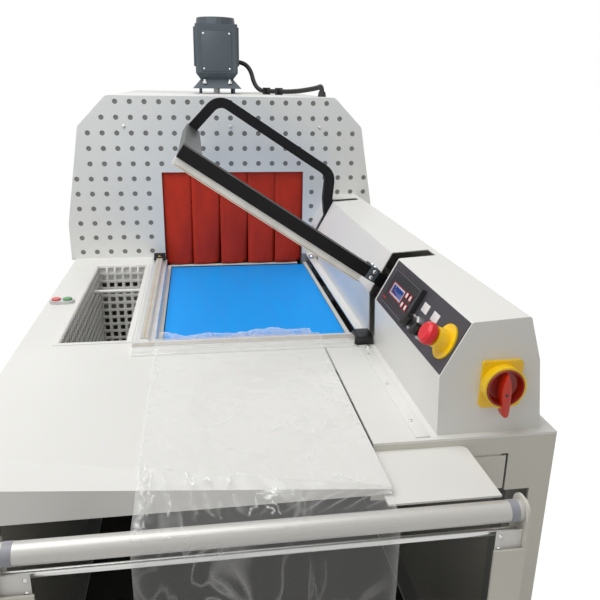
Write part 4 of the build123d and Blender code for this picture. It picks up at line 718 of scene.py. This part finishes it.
bar_frame(rim, rim_middle, (rim_span.x, rim_span.y, 1.5), basket_rim, 0.5)
rod = turned([(0, -0.5), (5, -0.5), (5, 0.5), (0, 0.5)], 20)
rod_place = place_at((basket_mid.x, bin_high.y - basket_rim - 120, deck_top - 40), (1, 0, 0))
add(rim, rod, rod_place @ Matrix.Diagonal((1, 1, basket_size.x - 2.6, 1)))
rim = put("scrap_basket_rim", rim, pearl_paint, "scrap_bin")
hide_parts("scrap_bin")

# Folded edges of the deck's window, which show behind the basket's upper holes
window_left = -388.0
window_right = -240.0
window_front = -586.0
window_rear = 33.0
fold_height = 38.0
fold_sheet = 1.4
window_middle = (
    (window_left + window_right) / 2, (window_front + window_rear) / 2, deck_top - 3.5 - fold_height / 2,
)
window_size = (window_right - window_left, window_rear - window_front, fold_height)
folds = bmesh.new()
bar_frame(folds, window_middle, window_size, fold_sheet, 0.4, gap=0.2)
put("bin_window_folds", folds, pearl_paint, "base")

# The housing's sloped face, which carries the controls
lower_ridge = Vector((274.0, 0.0, 1002.0))
upper_ridge = Vector((320.0, 0.0, 1089.0))
slope_vector = upper_ridge - lower_ridge
slope_up = slope_vector.normalized()
slope_out = Vector((-slope_up.z, 0, slope_up.x))
panel_lift = 1.5
controller_lift = 11.5


def slope_place(front, up, lift=panel_lift):
    """A place on the sloped face: X towards the front, Y up the slope and Z out of it."""
    origin = lower_ridge + slope_up * up + slope_out * lift
    origin.y = housing_low.y + front
    return place_at(origin, slope_out, (0, -1, 0))


# Controller: a window with a pale rim, four keys in red frames, and a light grey bead along its edge that is
# painted highlight
controller_front = 262.0
display_front = controller_front + 16.0
key_front = controller_front - 44.0
key_offset = 9.5
controller_up = slope_vector.length / 2
display_glass = moulded("display_glass", (48, 74, 150), roughness=0.12, strength=0.0, coat=0.8)
display_rim = moulded("display_rim", (206, 196, 208), roughness=0.35)
key_frame = moulded("key_frame", (170, 36, 44), roughness=0.35)
key_white = moulded("key_white", (226, 222, 222), roughness=0.35)
highlight_bead_grey = moulded("highlight_bead_grey", (104, 104, 110), roughness=0.35)


def slope_frame(bm, front, lift, long_bar, long_offset, short_bar, short_offset, edge):
    """Add four bars round a spot at the controller's middle height."""
    for side in (-1, 1):
        add(bm, rounded_block(long_bar, edge), slope_place(front, controller_up + side * long_offset, lift))
        add(bm, rounded_block(short_bar, edge), slope_place(front + side * short_offset, controller_up, lift))


glass_place = slope_place(display_front, controller_up, controller_lift - 1.0)
put("controller_display", rounded_block((60, 17, 0.8), 0.3), display_glass, "base", place=glass_place)
surround = bmesh.new()
slope_frame(surround, display_front, controller_lift - 0.9, (67.6, 3.2, 1.2), 10.2, (3.6, 17.2, 1.2), 32, 0.3)
put("controller_display_rim", surround, display_rim, "base")
line_lift = controller_lift + 0.2
keys = bmesh.new()
frames = bmesh.new()
for column in (-key_offset, key_offset):
    for row in (-key_offset, key_offset):
        key_place = slope_place(key_front + column, controller_up + row, controller_lift + 1.2)
        add(keys, rounded_block((8.4, 8.4, 1.6), 0.5), key_place)
        add(frames, rounded_block((12.6, 12.6, 0.8), 0.3), key_place)
slope_frame(frames, display_front, line_lift, (71.2, 1.4, 0.6), 12.5, (1.4, 23.6, 0.6), 34.9, 0.2)
put("controller_keys", keys, key_white, "base")
# Light grey bead round the controller's rim: painted highlight where its edge catches the light
highlight_bead = bmesh.new()
slope_frame(highlight_bead, controller_front, line_lift, (144, 1.2, 0.6), 33.4, (1.2, 65.6, 0.6), 71.4, 0.2)
put("controller_highlight_bead", highlight_bead, highlight_bead_grey, "base")
put("controller_key_frames", frames, key_frame, "base")
lamp_place = slope_place(320, 24, controller_lift + 0.3)
put("controller_lamp", rounded_block((16, 4, 1.0), 0.4), key_frame, "base", place=lamp_place)

# Bare legend plates beside the selectors
selector_fronts = (115.0, 163.0)
plates = bmesh.new()
for front in selector_fronts:
    add(plates, rounded_block((27, 17, 1.2), 0.4), slope_place(front - 6, 63, panel_lift + 0.6))
put("selector_plates", plates, key_white, "base")

# Grip ribs round the emergency stop's button
estop_place = slope_place(38, 47, 29.8)
rib_circle = 18.0
rib_count = 24
ribs = bmesh.new()
for turn in range(rib_count):
    angle = 2 * pi * turn / rib_count
    spot = Matrix.Translation((rib_circle * cos(angle), rib_circle * sin(angle), 5.2))
    add(ribs, rounded_block((1.6, 2.0, 9), 0.5), estop_place @ spot @ Matrix.Rotation(angle, 4, "Z"))
put("estop_grip_ribs", ribs, signal_red, "estop_button")

# Screws on the hood and on the deck's cover strip
deck_strip_x = 254.0
deck_strip_y = -860.0
deck_strip_height = 2.4
deck_strip_top = deck_top + deck_strip_height
screws = bmesh.new()
for x in (-294.0, 21.0, 294.0):
    add(screws, pan_head(5.5), place_at((x, hood_low.y, 1300.0), (0, -1, 0)))
for step in (-1, 0, 1):
    add(screws, pan_head(3.5), place_at((deck_strip_x - 4, deck_strip_y + 140 * step, deck_strip_top)))
add(screws, pan_head(6.5), place_at((deck_strip_x + 6, deck_strip_y + 178, deck_strip_top)))
put("panel_screws", screws, ground_steel, "base")

# Cover strip beside the housing
cover_place = place_at((deck_strip_x, deck_strip_y, deck_top + deck_strip_height / 2))
cover = rounded_block((24, 384, deck_strip_height), 0.4)
put("deck_cover_strip", cover, pearl_paint, "base", place=cover_place)

# Deck knob near the tunnel
knob = turned([(0, 12), (7, 11.4), (9, 9), (9, 5), (6, 3), (6, 0), (0, 0)], 24)
put("deck_knob", knob, bright_steel, "base", place=place_at((266.0, 66.0, deck_top)))

# Terminal bracket at the rear end of the left jaw, with its brass screw
terminal_x = -206.0
brass = metal("terminal_brass", (196, 158, 84), roughness=0.3)
bracket = bmesh.new()
add(bracket, rounded_block((34, 4, 26), 1), place_at((terminal_x, 79, deck_top + 13)))
add(bracket, rounded_block((34, 20, 4), 1), place_at((terminal_x, 70, deck_top + 16)))
put("jaw_terminal_bracket", bracket, knob_plastic, "base")
put("jaw_terminal", pan_head(5), brass, "base", place=place_at((terminal_x, 68, deck_top + 18)))

# Isolator: a dished dark dial with a drop-shaped lever across it
isolator_low = box_mm("isolator_plate")[0]
handle_low, handle_high = box_mm("isolator_handle")
dial_radius = (handle_high.x - handle_low.x) / 2
dial_x = (handle_low.x + handle_high.x) / 2
dial_z = handle_high.z - dial_radius
dial_back = isolator_low.y + 16
dial_depth = 17.5
dial_place = place_at((dial_x, dial_back, dial_z), (0, -1, 0), (1, 0, 0))
dial = turned([
    (0, 4), (12, 4), (dial_radius - 7, 5.5), (dial_radius - 3.2, dial_depth - 2),
    (dial_radius - 2.4, dial_depth), (dial_radius - 0.6, dial_depth), (dial_radius, dial_depth - 0.8),
    (dial_radius, 0.6), (0, 0.6),
], 56)
dial = put("isolator_dial", dial, dial_red, "isolator_handle", place=dial_place)
lever_tip = handle_low.z - dial_z
lever_foot = 5.0
lever_outline = (
    (0, dial_radius - 5), (3.4, dial_radius - 11), (6.6, dial_radius - 21), (8.2, -2), (8.6, -14), (8.6, -25),
    (8.0, lever_tip + 5), (6.0, lever_tip), (0.4, lever_tip), (-2.6, lever_tip + 5), (-5.4, -25), (-8.0, -14),
    (-8.2, -2), (-6.6, dial_radius - 21), (-3.4, dial_radius - 11),
)
lever_height = dial_back - handle_low.y - 9
lever = flat_plate(lever_outline, lever_height, 3.2)
lever_place = dial_place @ Matrix.Translation((0, 0, lever_foot))
put("isolator_lever", lever, lever_red, "isolator_handle", place=lever_place)
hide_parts("isolator_handle")
lock_eye = turned([(0, 0.5), (2.2, 0.5), (2.6, 0.1), (2.6, 0)], 16)
lock_place = dial_place @ Matrix.Translation((0, -9, lever_foot + lever_height))
put("isolator_lock_eye", lock_eye, knob_plastic, "isolator_handle", place=lock_place)

# Hood front: the same sheet with truly round holes, and the grey liner that shows behind them
hood_half = hood_high.x
hood_corners = (
    (hood_half, deck_top), (hood_half, deck_top + 108), (427.0, hood_high.z - 88), (341.0, hood_high.z),
)
hood_corner_radius = 18.0
mouth_left = -191.0
mouth_right = 245.0
mouth_top = deck_top + 264
hole_radius = 7.5
hole_pitch_x = 42.0
hole_pitch_z = 45.0
hole_rows = 11
hole_sides = 20
hole_clearance = 20.0


def rounded_corner(before, corner, after, radius, steps=6):
    """Points along a corner that is rounded between its two straight sides."""
    to_before = (Vector(before) - Vector(corner)).normalized()
    to_after = (Vector(after) - Vector(corner)).normalized()
    half = to_before.angle(to_after) / 2
    reach = radius * cos(half) / sin(half)
    start = Vector(corner) + to_before * reach
    end = Vector(corner) + to_after * reach
    points = []
    for step in range(steps + 1):
        share = step / steps
        points.append(start * (1 - share) ** 2 + Vector(corner) * 2 * share * (1 - share) + end * share ** 2)
    return points


def hood_loop():
    """The front sheet's outline, X and Z, round the mouth as well."""
    ring = [*hood_corners, *((-x, z) for x, z in reversed(hood_corners))]
    points = [Vector(ring[0])]
    for before, corner, after in zip(ring, ring[1:], ring[2:]):
        points += rounded_corner(before, corner, after, hood_corner_radius)
    points.append(Vector(ring[-1]))
    points += [Vector((mouth_left, z)) for z in (deck_top, mouth_top)]
    return points + [Vector((mouth_right, z)) for z in (mouth_top, deck_top)]


def hood_half_width(z):
    """Half the hood's width at a height."""
    for (low_x, low_z), (high_x, high_z) in zip(hood_corners[1:], hood_corners[2:]):
        if low_z <= z <= high_z:
            return low_x + (high_x - low_x) * (z - low_z) / (high_z - low_z)
    return hood_half


def hood_holes():
    """Centres of the holes, in rows from the top, clear of the sides and of the mouth."""
    centres = []
    for row in range(hole_rows):
        z = hood_high.z - 17 - row * hole_pitch_z
        columns = int((hood_half_width(z) - 11.5) / hole_pitch_x + 0.5)
        for column in range(-columns, columns):
            x = (column + 0.5) * hole_pitch_x
            beside = x < mouth_left - hole_clearance or x > mouth_right + hole_clearance
            if beside or z > mouth_top + hole_clearance:
                centres.append((x, z))
    return centres


def front_sheet(y, depth, holes):
    """A sheet with the hood's outline and the given holes, from Y to the rear."""
    bm = bmesh.new()
    edges = []
    loops = [[(point.x, point.y) for point in hood_loop()]]
    turns = [2 * pi * step / hole_sides for step in range(hole_sides)]
    for x, z in holes:
        loops.append([(x + hole_radius * cos(turn), z + hole_radius * sin(turn)) for turn in turns])
    for loop in loops:
        points = [bm.verts.new((x, y, z)) for x, z in loop]
        edges += [bm.edges.new(pair) for pair in zip(points, points[1:] + points[:1])]
    bmesh.ops.triangle_fill(bm, use_beauty=True, edges=edges)
    raise_faces(bm, (0, depth, 0))
    return bm


hood_front = put("hood_front_sheet", front_sheet(hood_low.y, 1.5, hood_holes()), hood_paint, "base")
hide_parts("hood_front_panel")
liner_felt = moulded("liner_felt", (126, 125, 122), roughness=0.7, grain=300.0, strength=0.3)
put("hood_liner", front_sheet(hood_low.y + 1.55, 0.3, []), liner_felt, "base")

# Strips along the seal pads
tape_tan = moulded("tape_tan", (198, 172, 132), roughness=0.4)
tapes = bmesh.new()
pad_low, pad_high = box_mm("seal_pads")
front_tape = rounded_block((pad_high.x - pad_low.x - 4, 2.0, 0.5), 0.2)
add(tapes, front_tape, place_at(((pad_low.x + pad_high.x) / 2, front_jaw_y, pad_high.z + 0.2)))
side_tape_x = jaw_low.x + 21.5
side_tape = rounded_block((2.2, pad_high.y - front_jaw_y - 40, 0.5), 0.2)
add(tapes, side_tape, place_at((side_tape_x, (pad_high.y + front_jaw_y + 36) / 2, pad_high.z + 0.2)))
put("seal_tapes", tapes, tape_tan, "base")

# Cap and upright of the magnet block
latch_low, latch_high = box_mm("magnet_block")
latch = bmesh.new()
latch_x = (latch_low.x + latch_high.x) / 2
add(latch, rounded_block((32, 48, 1.6), 0.6), place_at((latch_x + 4, front_jaw_y, latch_high.z + 0.8)))
add(latch, rounded_block((40, 3, 17), 0.8), place_at((latch_x, latch_low.y - 1.5, latch_high.z - 9.2)))
put("magnet_cap", latch, knob_plastic, "base")

# Steel clevis with two screws where the front beam enters the housing
arm_open = radians(33.4)
arm_pivot = Vector((428.0, 0.0, 938.0))
arm_along = Vector((cos(arm_open), 0, -sin(arm_open)))
arm_up = Vector((sin(arm_open), 0, cos(arm_open)))


def arm_place(along, y, up):
    """A place on the open arm: X along it towards its pivot, Y across and Z out of its top."""
    origin = arm_pivot + arm_along * along + arm_up * up
    origin.y = y
    return place_at(origin, arm_up, arm_along)


clevis_along = -199.0
clevis = bmesh.new()
add(clevis, rounded_block((22, 43, 3), 0.8), arm_place(clevis_along, front_jaw_y, 22.5))
add(clevis, rounded_block((22, 2.5, 27), 0.8), arm_place(clevis_along, front_jaw_y - 21.3, 9.5))
put("arm_clevis", clevis, motor_paint, "seal_arm")
clevis_screws = bmesh.new()
for up in (2.0, 16.0):
    screw_place = arm_place(clevis_along, front_jaw_y - 22.5, up) @ Matrix.Rotation(pi / 2, 4, "X")
    add(clevis_screws, pan_head(4.6), screw_place)
for side in (-1, 1):
    add(clevis_screws, pan_head(4.6), arm_place(clevis_along, front_jaw_y + 11 * side, 24))
put("arm_clevis_screws", clevis_screws, bright_steel, "seal_arm")

# Tape along the arm's jaws
jaw_tape_place = arm_place(-432, front_jaw_y - 15.2, -19)
put("arm_jaw_tape", rounded_block((440, 0.6, 1.4), 0.2), tape_tan, "seal_arm", place=jaw_tape_place)

# Chrome rings round the selectors
rings = bmesh.new()
for front in selector_fronts:
    ring = turned([(10.6, 0), (10.6, 6.4), (11.6, 7.4), (14.4, 6.2), (15.8, 3.6), (16.2, 0), (10.6, 0)], 40)
    add(rings, ring, slope_place(front, 30, panel_lift))
put("selector_rings", rings, bright_steel, "base")

# Transfer plate between the two belts, on the ends of the tunnel's rails
rails_low, rails_high = box_mm("tunnel_rails")
transfer = rounded_block((rails_high.x - rails_low.x, 17, 3), 0.8)
transfer_place = place_at(((rails_low.x + rails_high.x) / 2, rails_low.y + 8.7, rails_high.z + 1.5))
put("transfer_plate", transfer, pearl_paint, "base", place=transfer_place)

# Guide roller's end rings, and the front flanges of the cradle's cheeks
ring_x = 329.0
flange_x = 322.8
flange_y = -1224.0
flange_sheet = 2.0
ring_grey = moulded("ring_grey", (150, 152, 160), roughness=0.45)
ring_low, ring_high = guide_radius - 1, guide_radius + 0.5
roller_rings = bmesh.new()
flanges = bmesh.new()
flange_screws = bmesh.new()
for side in (-1, 1):
    ring = turned([(ring_low, -7), (ring_high, -6), (ring_high, 6), (ring_low, 7)], 40)
    add(roller_rings, ring, place_at((ring_x * side, guide_y, guide_z), (1, 0, 0)))
    add(flanges, rounded_block((38, flange_sheet, 150), 0.7), place_at((flange_x * side, flange_y, 776)))
    for z in (842, 822):
        screw_place = place_at(((flange_x - 12.8) * side, flange_y - flange_sheet / 2, z), (0, -1, 0))
        add(flange_screws, pan_head(3.4), screw_place)
put("guide_roller_rings", roller_rings, ring_grey, "guide_roller")
put("cheek_flanges", flanges, pearl_paint, "base")
put("cheek_screws", flange_screws, ground_steel, "base")

# Side and rear panels: screws along their edges, quarter-turn locks, and cover strips on the middle posts
panels_low, panels_high = box_mm("cabinet_panels")
shell_low, shell_high = box_mm("hood_shell")
panel_screw_y = (-960.0, -690.0, -420.0, -150.0, 350.0, 620.0, 890.0, 1190.0)
panel_screw_x = (-420.0, -210.0, 0.0, 210.0, 430.0)
cover_strip_y = hood_low.y
lock_y = (-800.0, -60.0, 250.0, 1090.0)
fixings = bmesh.new()
locks = bmesh.new()
cover_strips = bmesh.new()
strip_span = panels_high.z - panels_low.z - 8
for side_x, out in ((panels_low.x, -1), (panels_high.x, 1)):
    strip_place = place_at((side_x + 0.6 * out, cover_strip_y, (panels_low.z + panels_high.z) / 2))
    add(cover_strips, rounded_block((1.2, 36, strip_span), 0.4), strip_place)
    for z in (panels_low.z + 22, panels_high.z - 24):
        for y in panel_screw_y:
            add(fixings, pan_head(4.2), place_at((side_x, y, z), (out, 0, 0)))
    for step in range(4):
        z = panels_low.z + 60 + step * (strip_span - 112) / 3
        add(fixings, pan_head(3.6), place_at((side_x + 1.2 * out, cover_strip_y, z), (out, 0, 0)))
    for y in lock_y:
        lock = turned([(0, 1.0), (4.5, 1.0), (5.0, 2.2), (11, 2.2), (12.4, 1.4), (13, 0), (0, 0)], 28)
        add(locks, lock, place_at((side_x, y, panels_high.z - 150), (out, 0, 0)))
for x in panel_screw_x:
    for z in (panels_low.z + 22, panels_high.z - 24, shell_low.z + 18):
        if z < shell_low.z or not mouth_left - 15 < x < mouth_right + 15:
            add(fixings, pan_head(4.2), place_at((x, panels_high.y, z), (0, 1, 0)))
for side_x, out in ((shell_low.x, -1), (shell_high.x, 1)):
    for y in panel_screw_y:
        if y > shell_low.y:
            add(fixings, pan_head(4.2), place_at((side_x, y, shell_low.z + 18), (out, 0, 0)))
put("panel_fixings", fixings, ground_steel, "base")
put("panel_locks", locks, knob_plastic, "base")
put("panel_cover_strips", cover_strips, cabinet_paint, "base")

# Fan motor: bolts on its flared foot, a cover plate with screws, and cooling ribs
motor_y = (motor_low.y + motor_high.y) / 2
motor_half = 75.5
body_low = motor_low.z + 72
motor_rib_pitch = 17.0
motor_rib_steps = range(-3, 4)
bolts = bmesh.new()
for x in (-45, 45):
    for side in (-1, 1):
        bolt = turned([(0, 14), (4.2, 14), (4.6, 13), (4.6, 8), (8, 7.4), (8.4, 6.6), (8.4, 0), (0, 0)], 12)
        add(bolts, bolt, place_at((x, motor_y + 72 * side, motor_low.z + 35)))
for x in (-46, 46):
    for z in (body_low + 14, body_low + 132):
        add(bolts, pan_head(3.6), place_at((x, motor_y - motor_half - 3, z), (0, -1, 0)))
put("motor_bolts", bolts, bright_steel, "base")
motor_trim = bmesh.new()
add(motor_trim, rounded_block((108, 4, 136), 1.6), place_at((0, motor_y - motor_half - 1, body_low + 73)))
for side in (-1, 1):
    for step in motor_rib_steps:
        if (side, step) == (1, 0):
            continue  # the cable leaves here
        rib_place = place_at((side * (motor_half + 2), motor_y + step * motor_rib_pitch, body_low + 90))
        add(motor_trim, rounded_block((8, 4, 132), 1.2), rib_place)
for step in motor_rib_steps:
    rib_place = place_at((step * motor_rib_pitch, motor_y + motor_half + 2, body_low + 82))
    add(motor_trim, rounded_block((4, 8, 150), 1.2), rib_place)
put("motor_trim", motor_trim, motor_paint, "base")

# Motor cable: a ribbed conduit along the solid's route
cable_ribbed = ribbed_rubber("cable_ribbed", (20, 20, 21))
cable_radius = 0.008
motor_exit_z = 1499.0
cable_lift = hood_high.z + 12
gland_x = 325.0
gland_y = 270.0
cable_points = (
    (motor_half, motor_y, motor_exit_z), (motor_half + 46, motor_y, motor_exit_z),
    (motor_half + 66, motor_y - 48, cable_lift), (200, 540.8, cable_lift), (259, 446, cable_lift),
    (317, 314, cable_lift + 14), (gland_x, gland_y + 2, cable_lift + 23), (gland_x, gland_y, cable_lift - 8),
)
cable_curve = bpy.data.curves.new("motor_conduit", "CURVE")
cable_curve.dimensions = "3D"
cable_curve.bevel_depth = cable_radius
cable_curve.bevel_resolution = 5
cable_curve.resolution_u = 24
cable_spline = cable_curve.splines.new("NURBS")
cable_spline.points.add(len(cable_points) - 1)
for point, place in zip(cable_spline.points, cable_points):
    point.co = (*(value / 1000 for value in place), 1.0)
cable_spline.order_u = 3
cable_spline.use_endpoint_u = True
cable_curve.materials.append(cable_ribbed)
conduit = bpy.data.objects.new("motor_conduit", cable_curve)
bpy.context.collection.objects.link(conduit)
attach(conduit, "base")
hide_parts("motor_cable")

# Floor, light and camera
floor_material, floor_tree, floor_shader = new_finish("pale_floor")
floor_shader.inputs["Base Color"].default_value = (0.86, 0.86, 0.86, 1.0)
floor_shader.inputs["Roughness"].default_value = 0.8
rays = add_node(floor_tree, "ShaderNodeLightPath").outputs
glow = add_node(floor_tree, "ShaderNodeEmission", strength=1.18)
glow_share = 0.8
mirrored = calculated(floor_tree, "MAXIMUM", rays["Is Glossy Ray"], rays["Is Transmission Ray"])
seen = calculated(floor_tree, "MAXIMUM", rays["Is Camera Ray"], mirrored)
mix = add_node(floor_tree, "ShaderNodeMixShader")
floor_tree.links.new(calculated(floor_tree, "MULTIPLY", seen, glow_share), mix.inputs["Fac"])
floor_tree.links.new(floor_shader.outputs[0], mix.inputs[1])
floor_tree.links.new(glow.outputs[0], mix.inputs[2])
floor_tree.links.new(mix.outputs[0], floor_tree.nodes["Material Output"].inputs["Surface"])
floor_mesh = bpy.data.meshes.new("studio_floor")
floor_bm = bmesh.new()
bmesh.ops.create_grid(floor_bm, x_segments=1, y_segments=1, size=14.0)
floor_bm.to_mesh(floor_mesh)
floor_bm.free()
floor_mesh.materials.append(floor_material)
floor = bpy.data.objects.new("studio_floor", floor_mesh)
bpy.context.collection.objects.link(floor)

world = bpy.data.worlds.new("studio")
bpy.context.scene.world = world
world.use_nodes = True
world_tree = world.node_tree
sky = world_tree.nodes["Background"]
sky_light = 0.36
sky_seen = 1.0
warm_white = (1.0, 0.975, 0.92, 1.0)
plain_white = (1.0, 1.0, 1.0, 1.0)
sky_tint = add_node(world_tree, "ShaderNodeMixRGB", color1=warm_white, color2=plain_white)
world_tree.links.new(sky_tint.outputs["Color"], sky.inputs["Color"])
world_rays = add_node(world_tree, "ShaderNodeLightPath").outputs
level = add_node(world_tree, "ShaderNodeMapRange", to_min=sky_light, to_max=sky_seen)
in_view = calculated(world_tree, "MAXIMUM", world_rays["Is Camera Ray"], world_rays["Is Glossy Ray"])
world_tree.links.new(in_view, level.inputs["Value"])
world_tree.links.new(in_view, sky_tint.inputs["Fac"])
world_tree.links.new(level.outputs["Result"], sky.inputs["Strength"])


def soft_light(name, location, target, size, power):
    """A square lamp that faces a point."""
    lamp_data = bpy.data.lights.new(name, "AREA")
    lamp_data.size = size
    lamp_data.energy = power
    lamp_object = bpy.data.objects.new(name, lamp_data)
    lamp_object.location = location
    lamp_object.rotation_euler = (Vector(target) - Vector(location)).to_track_quat("-Z", "Y").to_euler()
    bpy.context.collection.objects.link(lamp_object)


soft_light("overhead_light", (-0.9, -0.75, 3.3), (0.0, -0.1, 0.9), 2.4, 58.0)
soft_light("front_light", (-1.6, -3.4, 2.6), (0.0, 0.0, 1.0), 2.0, 6.0)

camera_data = bpy.data.cameras.new("photo_camera")
camera_data.lens = 39.4
camera_data.sensor_width = 36.0
camera_data.clip_end = 50.0
camera = bpy.data.objects.new("photo_camera", camera_data)
view_forward = Vector((0.1482, 0.9380, -0.3135)).normalized()
view_right = view_forward.cross(Vector((0, 0, 1))).normalized()
view_up = view_right.cross(view_forward)
view_roll = radians(0.88)
camera_right = view_right * cos(view_roll) + view_up * sin(view_roll)
camera_up = view_up * cos(view_roll) - view_right * sin(view_roll)
camera_turn = Matrix((camera_right, camera_up, -view_forward)).transposed().to_4x4()
camera.matrix_world = Matrix.Translation((-0.0837, -1.926, 1.428)) @ camera_turn
bpy.context.collection.objects.link(camera)
bpy.context.scene.camera = camera
bpy.context.scene.view_settings.view_transform = "Standard"
